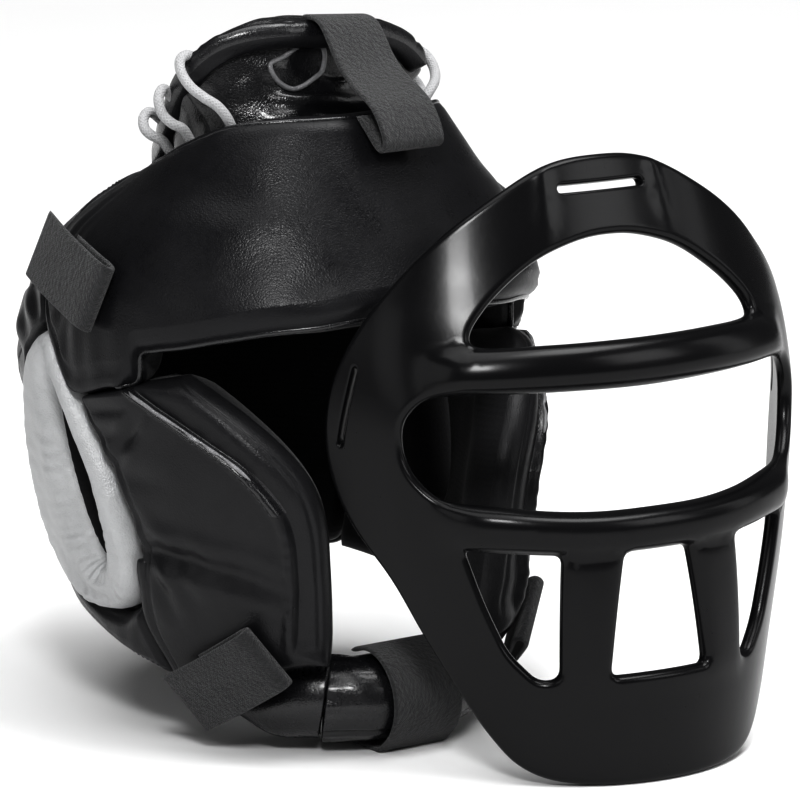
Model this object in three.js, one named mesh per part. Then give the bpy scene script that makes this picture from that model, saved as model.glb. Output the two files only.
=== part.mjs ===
// Boxing headgear with its face mask set down in front of it.
// Millimetres, +Z up. The headgear faces -Y and the wearer's left is +X.
// Pads lie on one head form: a turn in degrees from the front, a height, and a lift off it.

import * as THREE from 'three';
import { mergeVertices } from 'three/addons/utils/BufferGeometryUtils.js';
import { TessellateModifier } from 'three/addons/modifiers/TessellateModifier.js';

// Outer face of the padding, level by level: half width, middle of the level and reach from it.
const HEAD_FORM = [
  { height: -20, half: 55, middle: -8, reach: 70 },
  { height: 0, half: 64, middle: -8, reach: 80 },
  { height: 22, half: 76, middle: -10, reach: 93 },
  { height: 50, half: 86, middle: -8, reach: 106 },
  { height: 100, half: 97, middle: -2, reach: 116 },
  { height: 150, half: 102, middle: 0, reach: 119 },
  { height: 165, half: 102, middle: -2, reach: 115 },
  { height: 177, half: 101, middle: -6, reach: 108 },
  { height: 188, half: 99, middle: -8, reach: 98 },
  { height: 203, half: 92, middle: -10, reach: 86 },
  { height: 214, half: 84, middle: -15, reach: 74 },
  { height: 225, half: 73, middle: -19, reach: 60 },
  { height: 237, half: 64, middle: -22, reach: 50 },
  { height: 250, half: 55, middle: -24, reach: 42 },
  { height: 262, half: 47, middle: -26, reach: 36 },
];

// Padding: thickness, and the radius that rounds its edges.
const BAND_PAD = { thick: 22, round: 9 };
const CHEEK_PAD = { thick: 28, round: 13 };
const BACK_PAD = { thick: 18, round: 7 };
const JAW_PAD = { thick: 17, round: 6 };
const EAR_PAD = { thick: 22, round: 12, proud: 4 };
const FLAP_PAD = { thick: 16, round: 9 };

// Ribs of the forehead band, from the middle of the brow round to the back.
const BAND_RIBS = [
  { fromTurn: 0, fromHeight: 184, toTurn: 0, toHeight: 257 },
  { fromTurn: 16, fromHeight: 183, toTurn: 16, toHeight: 257 },
  { fromTurn: 28, fromHeight: 180, toTurn: 28, toHeight: 257 },
  { fromTurn: 40, fromHeight: 177, toTurn: 40, toHeight: 256 },
  { fromTurn: 52, fromHeight: 171, toTurn: 52, toHeight: 254 },
  { fromTurn: 62, fromHeight: 165, toTurn: 63, toHeight: 252 },
  { fromTurn: 70, fromHeight: 156, toTurn: 74, toHeight: 249 },
  { fromTurn: 78, fromHeight: 148, toTurn: 85, toHeight: 246 },
  { fromTurn: 86, fromHeight: 144, toTurn: 96, toHeight: 243 },
  { fromTurn: 94, fromHeight: 156, toTurn: 105, toHeight: 239 },
  { fromTurn: 101, fromHeight: 168, toTurn: 114, toHeight: 235 },
  { fromTurn: 108, fromHeight: 181, toTurn: 122, toHeight: 230 },
  { fromTurn: 115, fromHeight: 195, toTurn: 128, toHeight: 226 },
  { fromTurn: 122, fromHeight: 208, toTurn: 132, toHeight: 222 },
];

// Ribs of the back panel, from its tip over the ear round to the middle of the nape.
const BACK_RIBS = [
  { fromTurn: 104, fromHeight: 165, toTurn: 104.5, toHeight: 169 },
  { fromTurn: 113, fromHeight: 156, toTurn: 110.5, toHeight: 181 },
  { fromTurn: 119, fromHeight: 142, toTurn: 117, toHeight: 194 },
  { fromTurn: 122.5, fromHeight: 118, toTurn: 124, toHeight: 207 },
  { fromTurn: 124.5, fromHeight: 90, toTurn: 131, toHeight: 216 },
  { fromTurn: 125.5, fromHeight: 66, toTurn: 138, toHeight: 220 },
  { fromTurn: 126, fromHeight: 46, toTurn: 146, toHeight: 221 },
  { fromTurn: 137, fromHeight: 42, toTurn: 154, toHeight: 221 },
  { fromTurn: 149, fromHeight: 36, toTurn: 162, toHeight: 221 },
  { fromTurn: 160, fromHeight: 25, toTurn: 169, toHeight: 221 },
  { fromTurn: 169, fromHeight: 9, toTurn: 175, toHeight: 221 },
  { fromTurn: 180, fromHeight: 0.6, toTurn: 180, toHeight: 221 },
];

// Ribs of a cheek, from the jaw's edge up to its top corner, each from the face to the ear.
const CHEEK_RIBS = [
  { fromTurn: 31.5, fromHeight: -4, toTurn: 68, toHeight: 17 },
  { fromTurn: 31.5, fromHeight: 14, toTurn: 70.5, toHeight: 33 },
  { fromTurn: 30.5, fromHeight: 37, toTurn: 73.5, toHeight: 51 },
  { fromTurn: 30, fromHeight: 58, toTurn: 75.5, toHeight: 68 },
  { fromTurn: 29.5, fromHeight: 78, toTurn: 75.2, toHeight: 85 },
  { fromTurn: 29.5, fromHeight: 96, toTurn: 76.3, toHeight: 100 },
  { fromTurn: 32, fromHeight: 112, toTurn: 79, toHeight: 114 },
  { fromTurn: 38.5, fromHeight: 127, toTurn: 83, toHeight: 126 },
  { fromTurn: 49, fromHeight: 142, toTurn: 86, toHeight: 135 },
  { fromTurn: 62, fromHeight: 153, toTurn: 87.5, toHeight: 141 },
];
const CHEEK_CREASE = { rib: 0.42, slant: -0.05, width: 0.045, depth: 5 };

// Ribs of the strip under an ear, from the cheek's seam back to the back panel.
const JAW_RIBS = [
  { fromTurn: 70, fromHeight: 24, toTurn: 75.5, toHeight: 56 },
  { fromTurn: 78, fromHeight: 27, toTurn: 81, toHeight: 51 },
  { fromTurn: 88, fromHeight: 31, toTurn: 90, toHeight: 47 },
  { fromTurn: 100, fromHeight: 36, toTurn: 102, toHeight: 47 },
  { fromTurn: 112, fromHeight: 40, toTurn: 114, toHeight: 52 },
  { fromTurn: 123, fromHeight: 43, toTurn: 123, toHeight: 58 },
];

// Ear ring: its outer edge and the slit through it, read at the same places round it.
const EAR_RING = [
  { outTurn: 101, outHeight: 162, slitTurn: 100, slitHeight: 142 },
  { outTurn: 109, outHeight: 148, slitTurn: 100.5, slitHeight: 134 },
  { outTurn: 115, outHeight: 122, slitTurn: 99, slitHeight: 118 },
  { outTurn: 119.5, outHeight: 92, slitTurn: 96.5, slitHeight: 100 },
  { outTurn: 120.5, outHeight: 70, slitTurn: 93, slitHeight: 84 },
  { outTurn: 108, outHeight: 53, slitTurn: 90.5, slitHeight: 75 },
  { outTurn: 92, outHeight: 51.5, slitTurn: 88.5, slitHeight: 74 },
  { outTurn: 80, outHeight: 61, slitTurn: 87.5, slitHeight: 80 },
  { outTurn: 76.5, outHeight: 84, slitTurn: 87.5, slitHeight: 92 },
  { outTurn: 79.5, outHeight: 109, slitTurn: 88.5, slitHeight: 108 },
  { outTurn: 87.5, outHeight: 133, slitTurn: 92, slitHeight: 124 },
  { outTurn: 94.5, outHeight: 152, slitTurn: 96, slitHeight: 137 },
];

// Crown flap, from its front edge back: half width, height of its crown and of its rims.
const FLAP_LINES = [
  { back: -56, half: 38, crown: 269, rim: 262 },
  { back: -47, half: 50, crown: 280, rim: 263 },
  { back: -34, half: 56, crown: 284.5, rim: 262 },
  { back: -17, half: 57, crown: 285.5, rim: 260 },
  { back: 0, half: 56, crown: 282, rim: 250 },
  { back: 14, half: 52, crown: 273, rim: 241 },
  { back: 28, half: 45, crown: 258, rim: 233 },
  { back: 46.5, half: 36, crown: 233, rim: 225 },
];
const FLAP_GATHERS = { folds: 2, depth: 1.6, reach: 0.5 };
const FLAP_ARCH = 2.3;

// Padded tube across the chin: its middle line on one side, from the middle out.
const CHIN_LINE = [
  { side: 0, back: -84 },
  { side: 10, back: -83.6 },
  { side: 19.8, back: -80.9 },
  { side: 27.8, back: -75.7 },
];
const CHIN_RADIUS = 18;
const CHIN_HEIGHT = 20.6;
const CHIN_LOW = 2.7;
const CHIN_SIDES = 7;
const CHIN_STEPS = 16;

// Hook-and-loop tape, and the places where the strap of each side starts and points.
const TAPE = { width: 29, thick: 2, lift: 0.8 };
const TAPE_STEPS = { top: 26, side: 20, chin: 30 };
const CHIN_TAPE = { width: 33, lift: 1.6, flat: -8 };
const CHIN_WRAP = [60, 90, 120, 150, 180, 210, 235];
const CHIN_FLOOR = [-8, 0, 8, 16];
const TOP_STRAP = [
  { back: -66.5, height: 254 },
  { back: -71, height: 246 },
  { back: -76.5, height: 238 },
  { back: -83, height: 232.5 },
  { back: -91, height: 233.5 },
  { back: -95, height: 240.5 },
  { back: -91, height: 248 },
  { back: -80, height: 258 },
  { back: -68, height: 268.5 },
  { back: -58, height: 278.5 },
  { back: -48, height: 286 },
];
const SIDE_STRAP_LINE = [
  { along: 26, off: -1 },
  { along: 12, off: 0 },
  { along: 2, off: 0.2 },
  { along: -2, off: 2.6 },
  { along: 2, off: 5.2 },
  { along: 14, off: 4.4 },
  { along: 30, off: 2.2 },
  { along: 46, off: -1.5 },
];
const TEMPLE_STRAP = { turn: 81, height: 184, endTurn: 106, endHeight: 196 };
const JAW_STRAP = { turn: 46, height: 46, endTurn: 67, endHeight: 25 };

// Lace: a round cord whipped through the gap between the flap's rim and the band.
const LACE = { radius: 2.1, front: -40, rear: 10, turns: 5, bulge: 4.6, sides: 3, stepsPerTurn: 8 };
const LACE_LINE = [
  { back: -40, side: 57.5, height: 258 },
  { back: -20, side: 62, height: 252 },
  { back: -4, side: 63.5, height: 244.5 },
  { back: 10, side: 61.5, height: 237.5 },
];
const LACE_RISE = 2.6;

// Mask form, level by level: half width and forward reach of a half ellipse.
const MASK_FORM = [
  { height: 0, half: 70, reach: 70 },
  { height: 40, half: 79, reach: 72.5 },
  { height: 90, half: 91, reach: 73 },
  { height: 140, half: 98.5, reach: 72 },
  { height: 165, half: 98.5, reach: 66 },
  { height: 185, half: 95.5, reach: 58.5 },
  { height: 205, half: 88, reach: 50.5 },
  { height: 245, half: 74, reach: 39 },
];
const MASK_THICK = 6;
const MASK_BEVEL = 1.7;
const MASK_DEGREE = 1.55;
const MASK_BEND_END = 70;
const MASK_EDGE_MAX = 27;

// Half of the mask's edge, from the middle of its chin round the wing to the middle of its top.
const MASK_EDGE = [
  { swing: 0, height: 0 },
  { swing: 20, height: 0.6 },
  { swing: 36, height: 3.5 },
  { swing: 46, height: 9.5 },
  { swing: 52.5, height: 19 },
  { swing: 59, height: 33.7 },
  { swing: 67.9, height: 60 },
  { swing: 75.3, height: 84 },
  { swing: 85.5, height: 105.5 },
  { swing: 90, height: 123.5 },
  { swing: 90, height: 143.5 },
  { swing: 85, height: 167.7 },
  { swing: 73, height: 191 },
  { swing: 56.5, height: 213 },
  { swing: 37.5, height: 230 },
  { swing: 18, height: 242.8 },
  { swing: 0, height: 245.7 },
];
const UPPER_WINDOW = [
  { swing: 0, height: 174.8 },
  { swing: 22, height: 175.2 },
  { swing: 38, height: 176.1 },
  { swing: 41, height: 180.5 },
  { swing: 36.2, height: 191 },
  { swing: 28.5, height: 201 },
  { swing: 20, height: 208.5 },
  { swing: 9.2, height: 213.5 },
  { swing: 0, height: 214.8 },
];
const EYE_WINDOW = [
  { swing: 0, height: 109.6 },
  { swing: 14, height: 109.8 },
  { swing: 26.5, height: 111.4 },
  { swing: 39, height: 114.2 },
  { swing: 52, height: 116.7 },
  { swing: 57.5, height: 120.7 },
  { swing: 62.3, height: 129.2 },
  { swing: 63.7, height: 139.1 },
  { swing: 61.6, height: 149 },
  { swing: 55, height: 156.6 },
  { swing: 46, height: 158.3 },
  { swing: 34.7, height: 157.9 },
  { swing: 17, height: 157.2 },
  { swing: 0, height: 156.7 },
];
const LOW_MIDDLE_WINDOW = [
  { swing: -15.4, height: 44.3 },
  { swing: 15.4, height: 44.3 },
  { swing: 8.8, height: 92.8 },
  { swing: -8.8, height: 92.8 },
];
const LOW_SIDE_WINDOW = [
  { swing: 25, height: 93.5 },
  { swing: 30.5, height: 50 },
  { swing: 34.5, height: 44.3 },
  { swing: 38.5, height: 47.5 },
  { swing: 44.6, height: 54.8 },
  { swing: 46.8, height: 71 },
  { swing: 50.2, height: 97.3 },
];
const WINDOW_CORNER = 3;
const TOP_SLOT = { height: 233.4, swing: 13.2, width: 3.6 };
const SIDE_SLOT = { swingLow: 84.2, heightLow: 140, swingHigh: 77.2, heightHigh: 168, width: 3.6 };

// Where the mask stands: the foot of its chin on the floor, its turn and its lean back.
const MASK_FOOT = { side: 54.5, back: -187 };
const MASK_TURN = -6;
const MASK_LEAN = 6;

// Fineness: steps for reading slopes, the line that starts a rounded edge, and the weld of corners.
const SLOPE_STEP = 0.4;
const FLAP_STEP = 0.01;
const EDGE_LINE = 0.3;
const WELD = 1e-3;
const MASK_STEPS = { edge: 54, upper: 28, eye: 36, corner: 2, splits: 8 };

// Finishes.
const BLACK_LEATHER = { color: 0x17171a, roughness: 0.42, metalness: 0 };
const GLOSS_LEATHER = { color: 0x131315, roughness: 0.28, metalness: 0 };
const SILVER_LEATHER = { color: 0xb9bbbf, roughness: 0.4, metalness: 0.2 };
const TAPE_FINISH = { color: 0x3a3b3f, roughness: 0.9, metalness: 0 };
const LACE_FINISH = { color: 0x8e9196, roughness: 0.8, metalness: 0 };
const GLOSS_PLASTIC = { color: 0x1b1c1f, roughness: 0.22, metalness: 0 };

// Reads one column of a table between its rows, on a smooth curve through them.
function read(table, key, column, at) {
  const last = table.length - 1;
  let low = 0;
  while (low < last - 1 && table[low + 1][key] <= at) {
    low += 1;
  }
  const slope = (row) => {
    const before = table[Math.max(row - 1, 0)];
    const after = table[Math.min(row + 1, last)];
    return (after[column] - before[column]) / (after[key] - before[key]);
  };
  const from = table[low];
  const to = table[low + 1];
  const span = to[key] - from[key];
  const t = (at - from[key]) / span;
  const rise = to[column] - from[column];
  const ease = t * t * (3 - 2 * t);
  const start = t * (1 - t) * (1 - t) * span * slope(low);
  const end = t * t * (t - 1) * span * slope(low + 1);
  return from[column] + rise * ease + start + end;
}

// Reads a column through evenly spaced rows, with a share from 0 to 1 of the way along them.
function readShare(rows, column, share, closed) {
  const count = rows.length;
  const steps = closed ? count : count - 1;
  const place = share * steps;
  const k = Math.min(Math.floor(place), steps - 1);
  const t = place - k;
  const pick = (i) => {
    const row = closed ? (i + count) % count : Math.min(Math.max(i, 0), count - 1);
    return rows[row][column];
  };
  const [a, b, c, d] = [pick(k - 1), pick(k), pick(k + 1), pick(k + 2)];
  const linear = c - a;
  const square = 2 * a - 5 * b + 4 * c - d;
  const cube = 3 * b - a - 3 * c + d;
  return b + 0.5 * t * (linear + t * (square + t * cube));
}

// A point of the head form.
function headPoint(turn, height) {
  const angle = THREE.MathUtils.degToRad(turn);
  const half = read(HEAD_FORM, 'height', 'half', height);
  const middle = read(HEAD_FORM, 'height', 'middle', height);
  const reach = read(HEAD_FORM, 'height', 'reach', height);
  return new THREE.Vector3(half * Math.sin(angle), middle - reach * Math.cos(angle), height);
}

// The outward normal of a surface given by two coordinates, from small steps along each.
function normalOf(point, first, second) {
  const along = point(first + SLOPE_STEP, second).sub(point(first - SLOPE_STEP, second));
  const up = point(first, second + SLOPE_STEP).sub(point(first, second - SLOPE_STEP));
  return along.cross(up).normalize();
}

// A place on the head form, lifted along its normal.
function onHead(turn, height, lift) {
  const normal = normalOf(headPoint, turn, height);
  return headPoint(turn, height).addScaledVector(normal, lift);
}

// Shares from 0 to 1, with two close lines at each end for a rounded edge.
function spread(steps, edge) {
  const shares = [0, edge * EDGE_LINE];
  for (let k = 0; k <= steps; k += 1) {
    shares.push(edge + (1 - 2 * edge) * (k / steps));
  }
  shares.push(1 - edge * EDGE_LINE, 1);
  return shares;
}

// Shares for a closed ring, its last line being its first.
function evenly(steps) {
  return Array.from({ length: steps + 1 }, (_, k) => k / steps);
}

// A geometry from points and triangles, with its faces turned outwards.
function solidOf(points, triangles) {
  const geometry = new THREE.BufferGeometry();
  const flat = points.flatMap((p) => [p.x, p.y, p.z]);
  geometry.setAttribute('position', new THREE.Float32BufferAttribute(flat, 3));
  const volume = triangles.reduce((sum, [a, b, c]) => {
    const cross = new THREE.Vector3().crossVectors(points[b], points[c]);
    return sum + points[a].dot(cross);
  }, 0);
  const turned = volume < 0 ? triangles.map(([a, b, c]) => [a, c, b]) : triangles;
  geometry.setIndex(turned.flat());
  return mergeVertices(geometry, WELD);
}

// How full a pad is at a distance from its edge: a quarter round, then level.
function fullness(distance, round) {
  const short = 1 - Math.min(distance / round, 1);
  return Math.sqrt(Math.max(1 - short * short, 0));
}

// Distances along a line of points to the nearer of its two ends.
function endDistances(line) {
  const run = [0];
  for (let k = 1; k < line.length; k += 1) {
    run.push(run[k - 1] + line[k].distanceTo(line[k - 1]));
  }
  const total = run[run.length - 1];
  return run.map((distance) => Math.min(distance, total - distance));
}

// A closed pad over a grid of shares. Its two skins meet in its edge, half way through it.
// surface(u, v, lift) places a point, and outer(u, v) moves the outer skin for folds and dents.
function padSolid({ columns, rows, surface, pad, outer = () => 0, closed = false }) {
  const proud = pad.proud ?? 0;
  const middle = proud - pad.thick / 2;
  const grid = columns.map((u) => rows.map((v) => surface(u, v, middle)));
  const along = grid.map(endDistances);
  const across = rows.map((_, j) => endDistances(grid.map((line) => line[j])));
  const skin = (side) => columns.flatMap((u, i) => rows.map((v, j) => {
    const full = fullness(along[i][j], pad.round) * (closed ? 1 : fullness(across[j][i], pad.round));
    const dent = side > 0 ? outer(u, v) * full : 0;
    return surface(u, v, middle + side * full * pad.thick / 2 + dent);
  }));
  const points = [...skin(1), ...skin(-1)];
  const inner = columns.length * rows.length;
  const triangles = [];
  for (let i = 0; i + 1 < columns.length; i += 1) {
    for (let j = 0; j + 1 < rows.length; j += 1) {
      const a = i * rows.length + j;
      const b = a + rows.length;
      const leans = (i < (columns.length - 1) / 2) === (j < (rows.length - 1) / 2);
      const pair = leans ? [[a, b, b + 1], [a, b + 1, a + 1]] : [[a, b, a + 1], [b, b + 1, a + 1]];
      triangles.push(...pair);
      triangles.push(...pair.map(([p, q, r]) => [p + inner, r + inner, q + inner]));
    }
  }
  return solidOf(points, triangles);
}

// The place on a set of ribs: u runs across them and v along each.
function onRibs(ribs, u, v) {
  const turn = THREE.MathUtils.lerp(readShare(ribs, 'fromTurn', u), readShare(ribs, 'toTurn', u), v);
  const height = THREE.MathUtils.lerp(readShare(ribs, 'fromHeight', u), readShare(ribs, 'toHeight', u), v);
  return [turn, height];
}

function ribSurface(ribs) {
  return (u, v, lift) => onHead(...onRibs(ribs, u, v), lift);
}

// Ribs of one half and their mirror on the other side of the front or the back.
function mirrored(ribs, seam) {
  const other = ribs.slice(1).map((rib) => ({
    ...rib,
    fromTurn: 2 * seam - rib.fromTurn,
    toTurn: 2 * seam - rib.toTurn,
  }));
  return [...other.reverse(), ...ribs];
}

// A geometry's mirror image on the wearer's other side.
function mirrorSide(geometry) {
  const other = geometry.clone();
  other.scale(-1, 1, 1);
  const index = other.getIndex();
  for (let k = 0; k < index.count; k += 3) {
    const b = index.getX(k + 1);
    index.setX(k + 1, index.getX(k + 2));
    index.setX(k + 2, b);
  }
  return other;
}

// Only positions are kept, so that corners shared by faces become one.
function welded(geometry) {
  geometry.deleteAttribute('normal');
  geometry.deleteAttribute('uv');
  return mergeVertices(geometry, WELD);
}

function bandSolid() {
  return padSolid({
    columns: spread(24, 0.022),
    rows: spread(5, 0.12),
    surface: ribSurface(mirrored(BAND_RIBS, 0)),
    pad: BAND_PAD,
  });
}

function backSolid() {
  return padSolid({
    columns: spread(22, 0.02),
    rows: spread(6, 0.055),
    surface: ribSurface(mirrored([...BACK_RIBS].reverse(), 180)),
    pad: BACK_PAD,
  });
}

// The crease runs from the ear across the cheek and dips towards the face.
function cheekCrease(u, v) {
  const line = CHEEK_CREASE.rib + CHEEK_CREASE.slant * (1 - v);
  const away = (u - line) / CHEEK_CREASE.width;
  return -CHEEK_CREASE.depth * Math.exp(-away * away);
}

function cheekSolid() {
  return padSolid({
    columns: spread(12, 0.07),
    rows: spread(6, 0.13),
    surface: ribSurface(CHEEK_RIBS),
    pad: CHEEK_PAD,
    outer: cheekCrease,
  });
}

function jawSolid() {
  return padSolid({
    columns: spread(5, 0.08),
    rows: spread(2, 0.25),
    surface: ribSurface(JAW_RIBS),
    pad: JAW_PAD,
  });
}

function earSolid() {
  return padSolid({
    columns: evenly(26),
    rows: [0, 0.08, 0.3, 0.5, 0.75, 0.93, 1],
    surface: (u, v, lift) => {
      const [slit, out] = ['slit', 'out'].map((edge) => (
        ['Turn', 'Height'].map((part) => readShare(EAR_RING, edge + part, u, true))
      ));
      return onHead(THREE.MathUtils.lerp(slit[0], out[0], v), THREE.MathUtils.lerp(slit[1], out[1], v), lift);
    },
    pad: EAR_PAD,
    closed: true,
  });
}

// The flap's outer face, from its front edge back (u) and from rim to rim (v).
function flapPoint(u, v) {
  const front = FLAP_LINES[0].back;
  const rear = FLAP_LINES[FLAP_LINES.length - 1].back;
  const back = THREE.MathUtils.lerp(front, rear, u);
  const side = 2 * v - 1;
  const half = read(FLAP_LINES, 'back', 'half', back);
  const crown = read(FLAP_LINES, 'back', 'crown', back);
  const rim = read(FLAP_LINES, 'back', 'rim', back);
  const drop = Math.abs(side) ** FLAP_ARCH;
  return new THREE.Vector3(half * side, back, THREE.MathUtils.lerp(crown, rim, drop));
}

// Gathers run across the flap behind its front edge and die out towards the back.
function flapGathers(u) {
  const fade = Math.max(1 - u / FLAP_GATHERS.reach, 0);
  const phase = (u / FLAP_GATHERS.reach) * FLAP_GATHERS.folds * 2 * Math.PI;
  return FLAP_GATHERS.depth * fade * (Math.cos(phase) - 1);
}

function flapSolid() {
  const step = FLAP_STEP;
  return padSolid({
    columns: spread(12, 0.07),
    rows: spread(8, 0.07),
    surface: (u, v, lift) => {
      const [u0, u1] = [Math.max(u - step, 0), Math.min(u + step, 1)];
      const [v0, v1] = [Math.max(v - step, 0), Math.min(v + step, 1)];
      const back = flapPoint(u1, v).sub(flapPoint(u0, v));
      const side = flapPoint(u, v1).sub(flapPoint(u, v0));
      return flapPoint(u, v).addScaledVector(side.cross(back).normalize(), lift);
    },
    pad: FLAP_PAD,
    outer: flapGathers,
  });
}

// The chin tube: a round padded section along its bow, flat underneath.
function chinSolid() {
  const far = CHIN_LINE.slice(1).map(({ side, back }) => ({ side: -side, back }));
  const line = [...far.reverse(), ...CHIN_LINE];
  const path = new THREE.CatmullRomCurve3(
    line.map(({ side, back }) => new THREE.Vector3(side, back, CHIN_HEIGHT)),
  );
  const section = new THREE.Shape().absarc(0, 0, CHIN_RADIUS, 0, 2 * Math.PI);
  const tube = new THREE.ExtrudeGeometry(section, {
    steps: CHIN_STEPS,
    curveSegments: CHIN_SIDES,
    extrudePath: path,
  });
  const place = tube.getAttribute('position');
  for (let k = 0; k < place.count; k += 1) {
    place.setZ(k, Math.max(place.getZ(k), CHIN_LOW));
  }
  return welded(tube);
}

// A tape seen from its edge: a thick line through the points, as wide as the tape is deep.
function tapeSolid(points, width, steps) {
  const line = new THREE.SplineCurve(points);
  const near = [];
  const far = [];
  for (let k = 0; k <= steps; k += 1) {
    const point = line.getPoint(k / steps);
    const tangent = line.getTangent(k / steps);
    const side = new THREE.Vector2(-tangent.y, tangent.x).multiplyScalar(TAPE.thick / 2);
    near.push(point.clone().add(side));
    far.push(point.clone().sub(side));
  }
  const outline = new THREE.Shape([...far, ...near.reverse()]);
  const tape = new THREE.ExtrudeGeometry(outline, { depth: width, bevelEnabled: false });
  tape.translate(0, 0, -width / 2);
  return welded(tape);
}

// Stands a tape's profile up in the middle plane: its line runs back and up, its width sideways.
function acrossMiddle(geometry) {
  const basis = new THREE.Matrix4().makeBasis(
    new THREE.Vector3(0, 1, 0),
    new THREE.Vector3(0, 0, 1),
    new THREE.Vector3(1, 0, 0),
  );
  return geometry.applyMatrix4(basis);
}

function topStrapSolid() {
  const points = TOP_STRAP.map(({ back, height }) => new THREE.Vector2(back, height));
  return acrossMiddle(tapeSolid(points, TAPE.width, TAPE_STEPS.top));
}

// The chin strap goes over the tube, down its front and under it, and its end lies on the floor.
// Its wrap is given in degrees round the tube, its end in distances back from the tube's middle.
function chinStrapSolid() {
  const middle = CHIN_LINE[0].back;
  const low = TAPE.thick / 2;
  const radius = CHIN_RADIUS + CHIN_TAPE.lift + low;
  const wrap = CHIN_WRAP.map((degrees) => {
    const angle = THREE.MathUtils.degToRad(degrees);
    return new THREE.Vector2(middle + radius * Math.cos(angle), CHIN_HEIGHT + radius * Math.sin(angle));
  });
  const floor = CHIN_FLOOR.map((back) => new THREE.Vector2(middle + back, low));
  const tape = acrossMiddle(tapeSolid([...wrap, ...floor], CHIN_TAPE.width, TAPE_STEPS.chin));
  const place = tape.getAttribute('position');
  for (let k = 0; k < place.count; k += 1) {
    const under = place.getZ(k) < low && place.getY(k) > middle + CHIN_TAPE.flat;
    place.setZ(k, under ? 0 : Math.max(place.getZ(k), 0));
  }
  return tape;
}

// A strap on a pad's face, from its fold back along the pad towards its end.
function sideStrapSolid({ turn, height, endTurn, endHeight }) {
  const normal = normalOf(headPoint, turn, height);
  const start = onHead(turn, height, TAPE.lift + TAPE.thick / 2);
  const run = onHead(endTurn, endHeight, 0).sub(start);
  const along = run.addScaledVector(normal, -run.dot(normal)).normalize();
  const across = new THREE.Vector3().crossVectors(along, normal);
  const points = SIDE_STRAP_LINE.map((p) => new THREE.Vector2(p.along, p.off));
  const place = new THREE.Matrix4().makeBasis(along, normal, across).setPosition(start);
  return tapeSolid(points, TAPE.width, TAPE_STEPS.side).applyMatrix4(place);
}

// The lace winds on through the gap, a turn for each eyelet.
function laceSolid() {
  const count = LACE.turns * LACE.stepsPerTurn;
  const points = evenly(count).map((share) => {
    const back = THREE.MathUtils.lerp(LACE.front, LACE.rear, share);
    const phase = 2 * Math.PI * LACE.turns * share;
    const side = read(LACE_LINE, 'back', 'side', back) + LACE.bulge * Math.cos(phase);
    const height = read(LACE_LINE, 'back', 'height', back) + LACE_RISE * Math.sin(phase);
    return new THREE.Vector3(side, back, height);
  });
  const section = new THREE.Shape().absarc(0, 0, LACE.radius, 0, 2 * Math.PI);
  const cord = new THREE.ExtrudeGeometry(section, {
    steps: count,
    curveSegments: LACE.sides,
    extrudePath: new THREE.CatmullRomCurve3(points),
  });
  return welded(cord);
}

// A point of the mask form. Past the end of its bend a wing runs on straight.
function maskPoint(swing, height) {
  const half = read(MASK_FORM, 'height', 'half', height);
  const reach = read(MASK_FORM, 'height', 'reach', height);
  const bent = THREE.MathUtils.clamp(swing, -MASK_BEND_END, MASK_BEND_END);
  const angle = THREE.MathUtils.degToRad(bent);
  const straight = THREE.MathUtils.degToRad(swing - bent);
  const side = half * (Math.sin(angle) + straight * Math.cos(angle));
  const forward = reach * (Math.cos(angle) - straight * Math.sin(angle));
  return new THREE.Vector3(side, -forward, height);
}

// The mask unrolled: a degree of swing is a fixed width, and height stays height.
function flatPoint({ swing, height }) {
  return new THREE.Vector2(swing * MASK_DEGREE, height);
}

// A closed outline from one half of it and the mirror of that half.
function bothHalves(half) {
  const far = half.slice(1, -1).map(({ swing, height }) => ({ swing: -swing, height }));
  return [...half, ...far.reverse()].map(flatPoint);
}

// Points along a smooth closed curve through the given ones.
function smoothLoop(points, steps) {
  const spatial = points.map((p) => new THREE.Vector3(p.x, p.y, 0));
  const curve = new THREE.CatmullRomCurve3(spatial, true, 'centripetal');
  return curve.getPoints(steps).slice(0, -1).map((p) => new THREE.Vector2(p.x, p.y));
}

// A polygon with its corners rounded.
function roundedLoop(points) {
  const loop = new THREE.Path();
  points.forEach((corner, k) => {
    const before = points[(k + points.length - 1) % points.length];
    const after = points[(k + 1) % points.length];
    const enter = corner.clone().add(before.clone().sub(corner).setLength(WINDOW_CORNER));
    const leave = corner.clone().add(after.clone().sub(corner).setLength(WINDOW_CORNER));
    if (k === 0) {
      loop.moveTo(enter.x, enter.y);
    } else {
      loop.lineTo(enter.x, enter.y);
    }
    loop.quadraticCurveTo(corner.x, corner.y, leave.x, leave.y);
  });
  return loop.getPoints(MASK_STEPS.corner);
}

// A straight slot between two points.
function slotLoop(from, to, width) {
  const run = to.clone().sub(from).normalize();
  const side = new THREE.Vector2(-run.y, run.x).multiplyScalar(width / 2);
  return [from.clone().sub(side), to.clone().sub(side), to.clone().add(side), from.clone().add(side)];
}

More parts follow.
